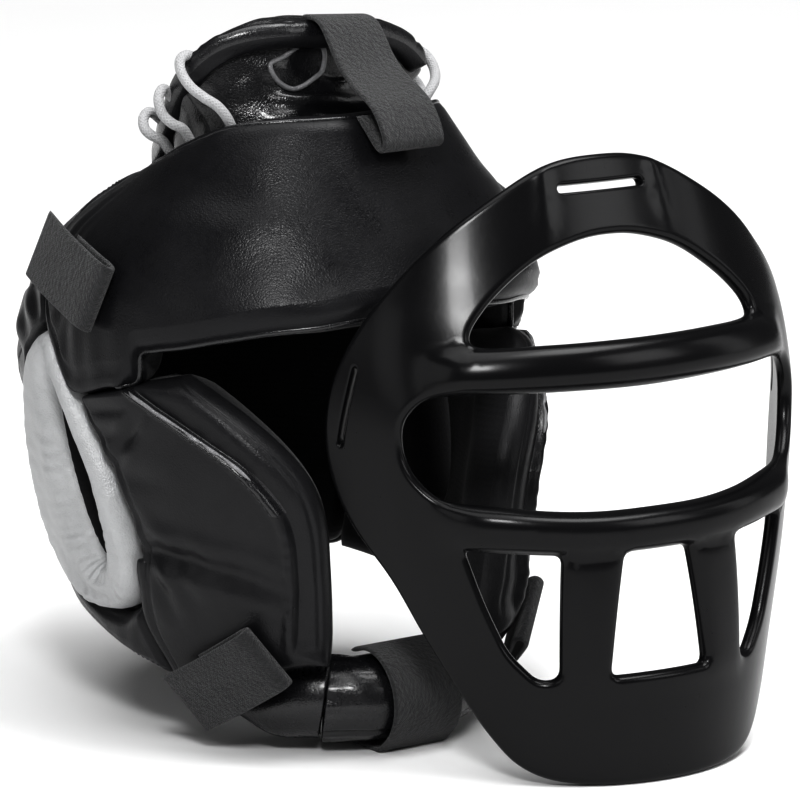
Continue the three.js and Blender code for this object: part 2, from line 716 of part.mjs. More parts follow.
function maskSolid() {
  const plate = new THREE.Shape(smoothLoop(bothHalves(MASK_EDGE), MASK_STEPS.edge));
  const other = ({ swing, height }) => ({ swing: -swing, height });
  const slotLow = { swing: SIDE_SLOT.swingLow, height: SIDE_SLOT.heightLow };
  const slotHigh = { swing: SIDE_SLOT.swingHigh, height: SIDE_SLOT.heightHigh };
  const topLeft = { swing: TOP_SLOT.swing, height: TOP_SLOT.height };
  plate.holes = [
    smoothLoop(bothHalves(UPPER_WINDOW), MASK_STEPS.upper),
    smoothLoop(bothHalves(EYE_WINDOW), MASK_STEPS.eye),
    roundedLoop(LOW_MIDDLE_WINDOW.map(flatPoint)),
    roundedLoop(LOW_SIDE_WINDOW.map(flatPoint)),
    roundedLoop(LOW_SIDE_WINDOW.map(other).map(flatPoint)),
    slotLoop(flatPoint(other(topLeft)), flatPoint(topLeft), TOP_SLOT.width),
    slotLoop(flatPoint(slotLow), flatPoint(slotHigh), SIDE_SLOT.width),
    slotLoop(flatPoint(other(slotLow)), flatPoint(other(slotHigh)), SIDE_SLOT.width),
  ].map((loop) => new THREE.Path(loop));
  const flat = new THREE.ExtrudeGeometry(plate, {
    depth: MASK_THICK - 2 * MASK_BEVEL,
    bevelThickness: MASK_BEVEL,
    bevelSize: MASK_BEVEL,
    bevelOffset: -MASK_BEVEL,
    bevelSegments: 1,
  });
  flat.translate(0, 0, MASK_BEVEL - MASK_THICK / 2);
  flat.deleteAttribute('normal');
  flat.deleteAttribute('uv');
  const fine = new TessellateModifier(MASK_EDGE_MAX, MASK_STEPS.splits).modify(flat);
  const place = fine.getAttribute('position');
  for (let k = 0; k < place.count; k += 1) {
    const swing = place.getX(k) / MASK_DEGREE;
    const height = place.getY(k);
    const normal = normalOf(maskPoint, swing, height);
    const point = maskPoint(swing, height).addScaledVector(normal, place.getZ(k));
    place.setXYZ(k, point.x, point.y + MASK_FORM[0].reach, point.z);
  }
  return mergeVertices(fine, WELD);
}

const headgear = new THREE.Group();

function addPiece(parent, name, geometry, finish) {
  const mesh = new THREE.Mesh(geometry, new THREE.MeshStandardMaterial(finish));
  mesh.name = name;
  parent.add(mesh);
  return mesh;
}

function addPair(name, geometry, finish) {
  addPiece(headgear, `${name}_left`, geometry, finish);
  addPiece(headgear, `${name}_right`, mirrorSide(geometry), finish);
}

addPiece(headgear, 'forehead_band', bandSolid(), BLACK_LEATHER);
addPiece(headgear, 'back_panel', backSolid(), BLACK_LEATHER);
addPiece(headgear, 'crown_flap', flapSolid(), GLOSS_LEATHER);
addPiece(headgear, 'chin_bar', chinSolid(), GLOSS_LEATHER);
addPair('cheek_pad', cheekSolid(), BLACK_LEATHER);
addPair('jaw_panel', jawSolid(), BLACK_LEATHER);
addPair('ear_pad', earSolid(), SILVER_LEATHER);
addPiece(headgear, 'strap_top', topStrapSolid(), TAPE_FINISH);
addPiece(headgear, 'strap_chin', chinStrapSolid(), TAPE_FINISH);
addPair('strap_temple', sideStrapSolid(TEMPLE_STRAP), TAPE_FINISH);
addPair('strap_jaw', sideStrapSolid(JAW_STRAP), TAPE_FINISH);
addPair('lace', laceSolid(), LACE_FINISH);

// The mask stands on its chin: its turn is about the upright, its lean about its own width.
const maskStand = new THREE.Group();
maskStand.rotation.z = THREE.MathUtils.degToRad(MASK_TURN);
maskStand.position.set(MASK_FOOT.side, MASK_FOOT.back, 0);
const mask = addPiece(maskStand, 'face_mask', maskSolid(), GLOSS_PLASTIC);
mask.rotation.x = THREE.MathUtils.degToRad(-MASK_LEAN);
maskStand.updateMatrixWorld(true);
maskStand.position.z = -new THREE.Box3().setFromObject(maskStand, true).min.z;
headgear.add(maskStand);

// The origin is on the floor, under the middle of the whole.
headgear.updateMatrixWorld(true);
const bounds = new THREE.Box3().setFromObject(headgear, true);
const centre = bounds.getCenter(new THREE.Vector3());
headgear.position.set(-centre.x, -centre.y, -bounds.min.z);

export default headgear;
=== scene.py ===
"""Boxing headgear with its face mask set down in front of it: covers, seams, straps and mask."""

import bpy
import numpy as np
from mathutils import Matrix, Vector
from mathutils.geometry import delaunay_2d_cdt


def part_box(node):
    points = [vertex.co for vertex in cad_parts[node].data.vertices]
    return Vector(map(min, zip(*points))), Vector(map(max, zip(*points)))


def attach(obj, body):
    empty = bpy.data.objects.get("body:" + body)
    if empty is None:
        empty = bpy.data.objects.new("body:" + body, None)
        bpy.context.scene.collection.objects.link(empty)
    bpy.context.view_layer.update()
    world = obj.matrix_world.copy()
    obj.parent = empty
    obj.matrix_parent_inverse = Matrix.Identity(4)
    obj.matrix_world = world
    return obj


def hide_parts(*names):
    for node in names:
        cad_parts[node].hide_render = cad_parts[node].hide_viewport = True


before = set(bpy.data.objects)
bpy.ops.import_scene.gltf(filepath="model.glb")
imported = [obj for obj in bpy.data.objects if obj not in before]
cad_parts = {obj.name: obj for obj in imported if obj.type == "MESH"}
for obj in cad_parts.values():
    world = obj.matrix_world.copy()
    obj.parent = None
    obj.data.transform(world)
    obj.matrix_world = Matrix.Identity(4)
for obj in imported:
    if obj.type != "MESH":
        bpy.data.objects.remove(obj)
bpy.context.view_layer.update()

# Shapes are worked out in millimetres from the headgear's own middle on the floor.
MM = 0.001
STRAP_END_BACK = -68.0
BAND_LOW, BAND_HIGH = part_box("forehead_band")
HEAD_MIDDLE = np.array([
    (BAND_LOW.x + BAND_HIGH.x) / 2 / MM,
    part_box("strap_chin")[1].y / MM - STRAP_END_BACK,
    0.0,
])

# Outer face of the padding: height, half width, middle and reach of each level.
HEAD_FORM = np.array([
    [-20, 55, -8, 70],
    [0, 64, -8, 80],
    [22, 76, -10, 93],
    [50, 86, -8, 106],
    [100, 97, -2, 116],
    [150, 102, 0, 119],
    [165, 102, -2, 115],
    [177, 101, -5.2, 107.2],
    [188, 99, -7.8, 97.8],
    [203, 92, -10, 86],
    [214, 84, -15.2, 74.2],
    [225, 73, -20.7, 61.8],
    [237, 64, -23.5, 51.5],
    [250, 55, -24.7, 42.8],
    [262, 47, -26, 36],
])

# Ribs of the pads: turn and height where a rib starts, turn and height where it ends.
BAND_RIBS = np.array([
    [0, 184, 0, 257],
    [16, 183, 16, 257],
    [28, 180, 28, 257],
    [40, 177, 40, 257],
    [52, 172, 52, 256.4],
    [61, 167.5, 62, 255.4],
    [68, 164.5, 70.5, 254],
    [72, 161.5, 76, 252.6],
    [72.6, 150, 80, 251.4],
    [79, 146.6, 86, 249.2],
    [89.3, 141.5, 96, 244.6],
    [94.7, 155, 105, 239],
    [102, 167.4, 114, 235],
    [108, 181, 122, 230],
    [115, 195, 128, 226],
    [122, 208, 132, 222],
])
BACK_RIBS = np.array([
    [103.6, 165.2, 103.8, 168.8],
    [110.6, 153.2, 109.6, 181],
    [114.8, 139.6, 116, 194],
    [118.9, 116.6, 123, 207],
    [122.4, 89.5, 130.4, 216],
    [123.2, 68, 138, 220],
    [126, 46, 146, 221],
    [137, 42, 154, 221],
    [149, 36, 162, 221],
    [160, 25, 169, 221],
    [169, 9, 175, 221],
    [180, 0.6, 180, 221],
])
CHEEK_RIBS = np.array([
    [31.5, -4, 73.5, 17],
    [31.5, 14, 76, 33],
    [30.5, 37, 79.8, 52],
    [30, 58, 78.2, 68.2],
    [29.5, 78, 76.8, 85],
    [29.5, 96, 78, 100],
    [32, 112, 80.6, 114],
    [38.5, 127, 84.2, 126],
    [49, 142, 87.3, 134.6],
    [61.5, 155.5, 88.8, 140.8],
])
JAW_RIBS = np.array([
    [75.1, 24.5, 80.4, 57.4],
    [82, 28, 84.3, 52.6],
    [88, 30, 90, 48.5],
    [100, 35, 102, 48.5],
    [112, 39, 114, 54.4],
    [125, 42, 122.4, 64],
])

# Ear ring: turn and height of its outer edge, turn and height of the slit.
EAR_RING = np.array([
    [101.5, 164.5, 98.6, 147],
    [110.5, 149.5, 99.8, 136],
    [116.5, 123, 98, 118],
    [121, 92, 95.6, 100],
    [122, 69, 93.2, 82],
    [108.5, 51, 91, 72.5],
    [91.5, 49.5, 88.6, 72],
    [81, 59.5, 86.8, 79.5],
    [77.6, 84, 86.9, 92],
    [80.6, 110, 88.3, 108],
    [88.2, 134.5, 91.2, 124],
    [94.6, 154, 94.8, 139],
])

# Crown flap: distance back, half width, height of its crown and of its rims.
FLAP_LINES = np.array([
    [-47, 52, 284, 269],
    [-34, 57, 285.5, 269],
    [-17, 58, 286, 267],
    [0, 56, 282, 254],
    [14, 52, 273, 241],
    [28, 45, 258, 233],
    [46.5, 36, 233, 225],
])
FLAP_ARCH = 2.3
FLAP_FRONT_ARCH = 3.4
# Its front edge: distance back in the middle and at both ends, how strongly it bows, how far its lip curls
# up, and how far its left rim sits lower than its middle.
FLAP_FRONT = -36.0
FLAP_FRONT_LEFT = -26.0
FLAP_FRONT_RIGHT = -14.0
FLAP_BOW = 2.4
FLAP_LIP = 1.5
FLAP_TILT = 4.0
# Curtain of lining: the share of it under the flap's front, how far it is tucked under the rim, the
# turn, height and lift of its foot inside the band, how far it bellies, and the middle it bellies from.
LINING_FRONT = 0.62
LINING_TUCK = (7.0, 6.5, 9.5)
LINING_TURN = 84.0
LINING_PAST_TURN = 40.0
LINING_FOOT_HEIGHT = 246.0
LINING_FOOT_SAG = 4.0
LINING_PAST_DROP = 22.0
LINING_FOOT_LIFT = -24.0
LINING_BELLY = -4.0
LINING_MIDDLE = np.array([0.0, -18.0, 235.0])
# Leaf-shaped rim sewn on the curtain: share along it and down it.
LINING_LEAF = np.array([
    [0.370, 0.183],
    [0.407, 0.130],
    [0.450, 0.087],
    [0.493, 0.080],
    [0.507, 0.137],
    [0.497, 0.213],
    [0.470, 0.280],
    [0.437, 0.323],
    [0.403, 0.333],
    [0.373, 0.273],
])

# Chin tube: distance sideways and back along its middle line, and its section.
CHIN_LINE = np.array([
    [0, -84],
    [10, -83.6],
    [19.8, -80.9],
    [27.8, -75.7],
])
CHIN_RADIUS = 18.0
CHIN_HEIGHT = 20.6
CHIN_LOW = 2.7

# Tapes: width, thickness, lift off what they lie on, points along and across one, roundness and least
# thickness of its edges, and steps over which its ends close. Then distance back and height along the top
# strap, how far it stands aside and leans, and run and lift along a side strap, with its turns and heights.
TAPE_WIDTH = 29.0
CHIN_TAPE_WIDTH = 33.0
TAPE_THICK = 2.0
TAPE_LIFT = 0.8
TAPE_STEPS = 96
TAPE_ACROSS = (14, 0.06)
TAPE_EDGE = 1.1
TAPE_LEAST = 0.04
TAPE_END = 3
TOP_STRAP = np.array([
    [-66.5, 254],
    [-71, 250.5],
    [-75.5, 246.8],
    [-79.5, 243.6],
    [-82.8, 242.4],
    [-85.3, 244.4],
    [-84.6, 248.4],
    [-81.2, 254],
    [-76.5, 258.8],
    [-69.5, 262.6],
    [-61.5, 266.4],
    [-55, 270.6],
    [-49.8, 275.6],
    [-45.6, 280.8],
    [-42.2, 284.6],
    [-38.6, 287],
    [-34, 287.8],
    [-28, 287.5],
])
TOP_STRAP_ASIDE = 6.0
TOP_STRAP_LEAN = 0.083
TOP_STRAP_LEAN_HEIGHTS = (262, 280)
SIDE_STRAP_LINE = np.array([
    [26, -1],
    [12, 0],
    [2, 0.2],
    [-2, 2.6],
    [2, 5.2],
    [14, 4.4],
    [30, 2.2],
    [46, -1.5],
])
TEMPLE_STRAP = (81, 184, 106, 196)
JAW_STRAP = (46, 46, 67, 25)

# Lace: sideways, distance back and height, out of the band, over the gap and into the flap, three times,
# then its radius, the points of its curve and of its cord, the steps over which its ends close, and the
# heights between which it takes up the slant of the flap's rims.
LACE_LINE = np.array([
    [44, -34, 244],
    [47.5, -34, 251],
    [51.5, -32.5, 255.5],
    [56, -29, 258.5],
    [59.5, -24.5, 262],
    [60.5, -20, 266.5],
    [58, -16, 270.5],
    [52, -13.5, 271],
    [45, -12, 264],
    [37, -12, 256],
    [34, -12.5, 245],
    [39, -13, 236.5],
    [49.5, -13.5, 238],
    [55.5, -14, 245.5],
    [60, -13, 248],
    [62.5, -9.5, 251],
    [61.5, -5, 255.5],
    [57, -2, 258],
    [50, 0, 253],
    [40, 0.5, 248],
    [36, 1, 238],
    [41, 1.6, 230],
    [49.5, 2.2, 232],
    [55, 2.5, 238.5],
    [59, 4.5, 241],
    [60, 8, 243.5],
    [58, 11.5, 247],
    [53, 13.5, 248],
    [45, 14.5, 242],
])
LACE_RADIUS = 2.1
LACE_CURVE_POINTS = 900
LACE_POINTS = 420
LACE_TIP = 6
LACE_SLANT_HEIGHTS = (244, 268)

# Mask: height, half width and reach of each level, then swing and height along its outlines.
MASK_FORM = np.array([
    [0, 70, 70],
    [40, 79, 72.5],
    [90, 91, 73],
    [140, 98.5, 72],
    [165, 98.5, 66],
    [185, 95.5, 58.5],
    [205, 88, 50.5],
    [245, 74, 39],
])
MASK_THICK = 6.0
MASK_DEGREE = 1.55
MASK_BEND_END = 70.0
MASK_FOOT = np.array([54.5, -187.0])
MASK_TURN = np.radians(-6)
MASK_LEAN = np.radians(6)
MASK_EDGE = np.array([
    [0, 0],
    [20, 0.6],
    [36, 3.5],
    [46, 9.5],
    [52.5, 19],
    [59, 33.7],
    [67.9, 60],
    [75.3, 84],
    [85.5, 105.5],
    [90, 123.5],
    [90, 143.5],
    [85, 167.7],
    [73, 191],
    [56.5, 213],
    [37.5, 230],
    [18, 242.8],
    [0, 245.7],
])
UPPER_WINDOW = np.array([
    [0, 174.8],
    [22, 175.2],
    [38, 176.1],
    [41, 180.5],
    [36.2, 191],
    [28.5, 201],
    [20, 208.5],
    [9.2, 213.5],
    [0, 214.8],
])
EYE_WINDOW = np.array([
    [0, 109.6],
    [14, 109.8],
    [26.5, 111.4],
    [39, 114.2],
    [52, 116.7],
    [57.5, 120.7],
    [62.3, 129.2],
    [63.7, 139.1],
    [61.6, 149],
    [55, 156.6],
    [46, 158.3],
    [34.7, 157.9],
    [17, 157.2],
    [0, 156.7],
])
LOW_MIDDLE_WINDOW = np.array([
    [-15.4, 44.3],
    [15.4, 44.3],
    [8.8, 92.8],
    [-8.8, 92.8],
])
LOW_SIDE_WINDOW = np.array([
    [25, 93.5],
    [30.2, 44.5],
    [36.5, 43.8],
    [43.6, 55.5],
    [47.2, 74],
    [50.2, 97.3],
])
LOW_SIDE_CORNERS = np.array([3.5, 4.6, 4.6, 6, 8, 3])
LOW_MIDDLE_CORNERS = np.full(4, 3.5)
TOP_SLOT = np.array([[-13.2, 233.4], [13.2, 233.4]])
SIDE_SLOT = np.array([[84.2, 140], [77.2, 168]])
SLOT_WIDTH = 2.9
# Points along the mask's outlines.
EDGE_POINTS = 660
UPPER_POINTS = 250
EYE_POINTS = 310
LOW_POINTS = 130
TOP_SLOT_POINTS = 76
SIDE_SLOT_POINTS = 60
# Mask's grid: rings at these distances from its outlines, every other point from a distance on, and spread
# points inside the last ring. Then the roundness of its rims and of its slots.
MASK_RINGS = (0.15, 0.5, 1.0, 1.7, 2.5, 3.6, 5.6)
MASK_THINNED = 4.0
MASK_SPREAD = 3.2
MASK_SPREAD_GAP = 1.2
MASK_ROUND = 2.6
SLOT_ROUND = 0.9
SLOT_NEAR = 4.0
# Bars: height in the middle, rise and the swings over which it rises, half width, and the swings where
# the bar ends. Then the nose bars' swell and bounds, and the ridges beside the top slot.
BROW_BAR = (166.3, -0.9, (20, 50), 9.2, (58, 42))
SECOND_BAR = (101.4, 5.5, (5, 50), 9.0, (60, 42))
BAR_CROWN = 5.2
BAR_ROUND = 5.0
BAR_INSIDE = 0.25
NOSE_SWELL = 0.28
NOSE_ROUND = 9.0
NOSE_SWINGS = (34, 28)
NOSE_TOP = (98, 88)
NOSE_FOOT = (34, 46)
RIDGE_SWELL = 0.9
RIDGE_SWING = 19.0
RIDGE_WIDTH = 2.6
RIDGE_HEIGHTS = (208, 226)
RIDGE_ROUND = 3.0

# Camera: turn and rise of the view, its distance, and where the headgear's middle falls in the frame.
VIEW_TURN = np.radians(35)
VIEW_RISE = np.radians(13)
VIEW_DISTANCE = 2500.0
VIEW_SCALE = 2.45
FRAME_PIXELS = 800
SENSOR = 36.0
AIM_HEIGHT = 150.0
AIM_PIXEL = (281, 341)
VIEW_CLIP_END = 50
VIEW_GAMMA = 0.72

# Lamps: name, place, width and height in metres, and power. All face one point of the headgear.
LAMPS = (
    ("main", (480, -520, 1900), (0.9, 0.7), 14),
    ("key", (-740, -1080, 1150), (0.3, 0.3), 15),
    ("side", (-1500, -150, 650), (0.6, 0.9), 2.6),
    ("fill", (1500, -900, 700), (0.4, 1.2), 3),
    ("front", (560, -1160, 760), (0.5, 0.6), 4),
)
LAMPS_FACE = (20, -40, 140)
SUN_STRENGTH = 2.6
SUN_SPREAD = np.radians(60)
WORLD_STRENGTH = 0.15
FLOOR_HALF = 9.0


# Reading of tables and curves

def read(table, at):
    """Columns of a table at given keys: cubic curves whose slopes at a row join its neighbours."""
    key, values = table[:, 0], table[:, 1:]
    before = np.maximum(np.arange(len(key)) - 1, 0)
    after = np.minimum(np.arange(len(key)) + 1, len(key) - 1)
    slope = (values[after] - values[before]) / (key[after] - key[before])[:, None]
    at = np.asarray(at, float)
    low = np.clip(np.searchsorted(key, at, side="right") - 1, 0, len(key) - 2)
    span = (key[low + 1] - key[low])[..., None]
    t = (at - key[low])[..., None] / span
    ease = t * t * (3 - 2 * t)
    start = t * (1 - t) ** 2 * span * slope[low]
    end = t * t * (t - 1) * span * slope[low + 1]
    return np.moveaxis(values[low] + (values[low + 1] - values[low]) * ease + start + end, -1, 0)


def read_share(rows, share, closed=False):
    """Columns at a share of the way along evenly spaced rows: a cubic curve through the rows."""
    count = len(rows)
    steps = count if closed else count - 1
    place = np.asarray(share, float) * steps
    k = np.clip(np.floor(place).astype(int), 0, steps - 1)
    t = (place - k)[..., None]
    near = [(k + i) % count if closed else np.clip(k + i, 0, count - 1) for i in (-1, 0, 1, 2)]
    a, b, c, d = (rows[i] for i in near)
    curve = b + 0.5 * t * (c - a + t * (2 * a - 5 * b + 4 * c - d + t * (3 * b - a - 3 * c + d)))
    return np.moveaxis(curve, -1, 0)


def mirrored(ribs, seam):
    """Ribs of one half and their mirror past the seam's turn, in order round the head."""
    other = ribs[:0:-1].copy()
    other[:, [0, 2]] = 2 * seam - other[:, [0, 2]]
    return np.concatenate([other, ribs])


def length_along(points):
    """Running length of a line of points, from 0 at its start."""
    steps = np.linalg.norm(np.diff(points, axis=0), axis=-1)
    return np.concatenate([np.zeros_like(steps[:1]), np.cumsum(steps, axis=0)])


def resampled(points, count):
    """The same line with evenly spaced points."""
    run = length_along(points)
    at = np.linspace(0, run[-1], count)
    return np.stack([np.interp(at, run, points[:, i]) for i in range(points.shape[1])], axis=-1)


def unit(vectors):
    """Vectors scaled to length one."""
    return vectors / np.maximum(np.linalg.norm(vectors, axis=-1, keepdims=True), 1e-9)


def smooth(low, high, value):
    """A soft step from 0 below low to 1 above high."""
    t = np.clip((value - low) / (high - low), 0, 1)
    return t * t * (3 - 2 * t)


def blend(low, high, share):
    """The value at a share of the way from one to another."""
    return low + (high - low) * share


# Ripples: how many sines make one up, the range of their lengths, and what brings their mean to about 1.
RIPPLE_SINES = 9
RIPPLE_RANGE = (0.6, 1.6)
RIPPLE_GAIN = 1.9


def ripple(points, size, seed):
    """Gentle uneven waves, about -1 to 1: sines of random directions and phases added up."""
    rng = np.random.default_rng(seed)
    ways = unit(rng.normal(size=(RIPPLE_SINES, points.shape[-1])))
    ways = ways * rng.uniform(*RIPPLE_RANGE, (RIPPLE_SINES, 1))
    phase = rng.uniform(0, 2 * np.pi, RIPPLE_SINES)
    return np.sin(points @ ways.T * (2 * np.pi / size) + phase).mean(axis=-1) * RIPPLE_GAIN


def waves(points, rows):
    """Ripples added up: rows of height, size and seed."""
    return sum(height * ripple(points, size, seed) for height, size, seed in rows)


def bell(value, middle, width):
    """A soft bump of height 1 at a middle: e to minus the squared distance in widths."""
    return np.exp(-((value - middle) / width) ** 2)


def grooves(share, rows):
    """Sewn grooves across a share: rows of place, depth and width, each a bump turned down."""
    return sum(-depth * bell(share, place, width) for place, depth, width in rows)


def side_of(mirror):
    """Factors that keep a point on the wearer's left or carry it over to the right."""
    return np.array([-1, 1, 1]) if mirror else np.ones(3)


# Head form and mask form

def head_point(turn, height):
    """Sideways by the half width times the turn's sine, forward by the reach times its cosine."""
    half, middle, reach = read(HEAD_FORM, height)
    angle = np.radians(turn)
    return np.stack([half * np.sin(angle), middle - reach * np.cos(angle), height + 0 * half], axis=-1)


def normals_of(point, first, second, step=0.4):
    """Outward normals: the cross product of small steps along a surface's two coordinates."""
    along = point(first + step, second) - point(first - step, second)
    up = point(first, second + step) - point(first, second - step)
    return unit(np.cross(along, up))


def on_head(turn, height, lift):
    """Points of the head form moved along its normals by a lift."""
    turn, height = np.broadcast_arrays(np.asarray(turn, float), np.asarray(height, float))
    normal = normals_of(head_point, turn, height)
    return head_point(turn, height) + normal * np.asarray(lift, float)[..., None]


def mask_point(swing, height):
    """A half ellipse at each level, whose wings run on straight past the end of its bend."""
    half, reach = read(MASK_FORM, height)
    bent = np.clip(swing, -MASK_BEND_END, MASK_BEND_END)
    angle, straight = np.radians(bent), np.radians(swing - bent)
    side = half * (np.sin(angle) + straight * np.cos(angle))
    forward = reach * (np.cos(angle) - straight * np.sin(angle))
    return np.stack([side, MASK_FORM[0, 2] - forward, height + 0 * half], axis=-1)


def mask_stands(points):
    """The mask's own points leant back, turned, moved to its foot and set down on the floor."""
    lean = np.array(Matrix.Rotation(-MASK_LEAN, 3, "X"))
    turn = np.array(Matrix.Rotation(MASK_TURN, 3, "Z"))
    placed = points @ lean.T @ turn.T
    placed[..., :2] += MASK_FOOT
    placed[..., 2] -= placed[..., 2].min()
    return placed


# Meshes

def put_mesh(name, points, faces, finishes, which=None, uv=None, marks=None):
    """A piece from millimetre points and faces of equal corners, turned outwards, in the row's metres."""
    corners = points[faces]
    volume = np.einsum("fi,fi->", corners[:, 0], np.cross(corners[:, 1], corners[:, 2]))
    volume += np.einsum("fi,fi->", corners[:, 0], np.cross(corners[:, 2], corners[:, -1]))
    if volume < 0:
        faces = faces[:, ::-1]
    mesh = bpy.data.meshes.new(name)
    mesh.vertices.add(len(points))
    mesh.vertices.foreach_set("co", ((points + HEAD_MIDDLE) * MM).ravel())
    mesh.loops.add(faces.size)
    mesh.loops.foreach_set("vertex_index", faces.ravel())
    mesh.polygons.add(len(faces))
    mesh.polygons.foreach_set("loop_start", np.arange(len(faces)) * faces.shape[1])
    mesh.polygons.foreach_set("use_smooth", np.ones(len(faces), bool))
    if which is not None:
        mesh.polygons.foreach_set("material_index", which)
    if uv is not None:
        layer = mesh.uv_layers.new(name="run")
        layer.data.foreach_set("uv", uv[faces].ravel())
    for mark, values in (marks or {}).items():
        mesh.attributes.new(mark, "FLOAT", "POINT").data.foreach_set("value", values.ravel())
    mesh.update(calc_edges=True)
    mesh.validate()
    for finish in finishes:
        mesh.materials.append(finish)
    piece = bpy.data.objects.new(name, mesh)
    bpy.context.scene.collection.objects.link(piece)
    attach(piece, "root")
    return piece


def grid_faces(index, wrap_first=False, wrap_second=False):
    """The four-sided faces of a grid of point numbers, joined round where it wraps."""
    if wrap_first:
        index = np.concatenate([index, index[:1]])
    if wrap_second:
        index = np.concatenate([index, index[:, :1]], axis=1)
    corners = [index[:-1, :-1], index[1:, :-1], index[1:, 1:], index[:-1, 1:]]
    return np.stack(corners, axis=-1).reshape(-1, 4)


def spread(count, edge, rounding=7):
    """Shares from 0 to 1, with lines drawn together at both ends for a quarter-round edge."""
    curl = edge * (1 - np.cos(np.linspace(0, np.pi / 2, rounding)))
    middle = np.linspace(edge, 1 - edge, count)[1:-1]
    return np.concatenate([curl, middle, 1 - curl[::-1]])


def fullness(distance, radius):
    """How full a pad is at a distance from its edge: a quarter round, then level."""
    short = 1 - np.clip(distance / radius, 0, 1)
    return np.sqrt(1 - short * short)


def edge_distance(points, axis):
    """Distance along a grid's lines to the nearer end of the line."""
    lines = np.moveaxis(points, axis, 0)
    run = length_along(lines)
    return np.moveaxis(np.minimum(run, run[-1] - run), 0, axis)


# Covers: how far from an edge the soft waves reach their full height, the waves of the inner skin, and how
# far from an edge the wear fades.
SOFT_MARGIN = 14.0
INNER_WAVES = ((0.6, 38, 5),)
WORN_WIDTH = 5.0


class Pad:
    """A stuffed cover: an outer and an inner skin over a grid, which meet half way through its edge."""

    def __init__(self, surface, grid, thick, rounding, shape, proud=0.0, closed=False, mirror=False):
        """Skins half a thickness off the middle, times a quarter round near the edges, plus the shape.

        rounding gives the radii of the edges, and shape the sculpted and the soft lift of the outer skin.
        """
        self.u, self.v = np.meshgrid(*grid, indexing="ij")
        self.surface = surface
        self.closed = closed
        self.side = side_of(mirror)
        middle = proud - thick / 2
        base = surface(self.u, self.v, np.full(self.u.shape, middle))
        round_u, round_v = rounding(self.u, self.v)
        gap_v = edge_distance(base, 1)
        full = fullness(gap_v, round_v)
        self.gap = gap_v
        if not closed:
            gap_u = edge_distance(base, 0)
            full = full * fullness(gap_u, round_u)
            self.gap = np.minimum(gap_v, gap_u)
        sculpt, soft = shape(self.u, self.v, base)
        dent = sculpt + soft * smooth(0, SOFT_MARGIN, self.gap)
        self.outer_lift = middle + full * (thick / 2 + dent)
        self.outer = surface(self.u, self.v, self.outer_lift)
        self.inner = surface(self.u, self.v, middle - full * (thick / 2 + waves(base, INNER_WAVES)))
        run_u = length_along(base.mean(axis=1))[:, None] + 0 * self.v
        run_v = length_along(base.mean(axis=0))[None, :] + 0 * self.u
        self.run = np.stack([run_u, run_v], axis=-1) * MM

    def mesh(self, name, finishes, patch=None):
        """The two skins as one closed mesh, sharing the points of their edge.

        The outer skin has the first finish and the inner one the second. A patch of the outer skin,
        marked on the grid, has the last.
        """
        shape = self.u.shape
        edge = np.zeros(shape, bool)
        edge[:, [0, -1]] = True
        if not self.closed:
            edge[[0, -1]] = True
        outer = np.arange(self.u.size).reshape(shape)
        inner = outer.copy()
        inner[~edge] = self.u.size + np.arange((~edge).sum())
        points = np.concatenate([self.outer.reshape(-1, 3), self.inner[~edge]]) * self.side
        uv = np.concatenate([self.run.reshape(-1, 2), self.run[~edge]])
        gap = np.concatenate([self.gap.ravel(), self.gap[~edge]])
        outside = grid_faces(outer, self.closed)
        inside = grid_faces(inner, self.closed)[:, ::-1]
        faces = np.concatenate([outside, inside])
        which = np.ones(len(faces), int)
        which[:len(outside)] = 0
        if patch is not None:
            which[:len(outside)][patch.ravel()[outside].all(axis=1)] = len(finishes) - 1
        return put_mesh(name, points, faces, finishes, which, uv, {"edge": np.exp(-gap / WORN_WIDTH)})

    def line(self, u, v, lift):
        """Points and normals along a line of shares, lifted off the outer skin."""
        u, v = np.broadcast_arrays(np.asarray(u, float), np.asarray(v, float))
        first = np.interp(u, self.u[:, 0], np.arange(len(self.u)))
        second = np.interp(v, self.v[0], np.arange(self.v.shape[1]))
        i = np.clip(first.astype(int), 0, len(self.u) - 2)
        j = np.clip(second.astype(int), 0, self.v.shape[1] - 2)
        s, t = first - i, second - j
        lifts = self.outer_lift
        skin = (lifts[i, j] * (1 - s) * (1 - t) + lifts[i + 1, j] * s * (1 - t)
                + lifts[i, j + 1] * (1 - s) * t + lifts[i + 1, j + 1] * s * t)
        points = self.surface(u, v, skin + lift)
        normals = unit(self.surface(u, v, skin + lift + 1) - points)
        return points * self.side, normals * self.side


# Folds: the share of its depth that a fold keeps at its ends, how near to an end it still tapers, and the
# height and place of the swell beside it.
FOLD_END = 0.35
FOLD_TIP = 0.03
FOLD_SWELL = 0.45
FOLD_SWELL_AT = 2.1


def creases(lines, place):
    """Pinched folds: a dip along each line with a soft swell beside it.

    Rows hold the line's two ends in the surface's own flat millimetres, its depth and its width.
    """
    total = np.zeros(place.shape[:-1])
    for row in lines:
        start, end, depth, width = row[:2], row[2:4], row[4], row[5]
        way = end - start
        share = np.clip(((place - start) @ way) / (way @ way), 0, 1)
        away = np.linalg.norm(place - start - share[..., None] * way, axis=-1) / width
        taper = FOLD_END + (1 - FOLD_END) * np.sin(np.pi * np.clip(share, FOLD_TIP, 1 - FOLD_TIP))
        total += depth * taper * (FOLD_SWELL * bell(away, FOLD_SWELL_AT, 1) - bell(away, 0, 1))
    return total


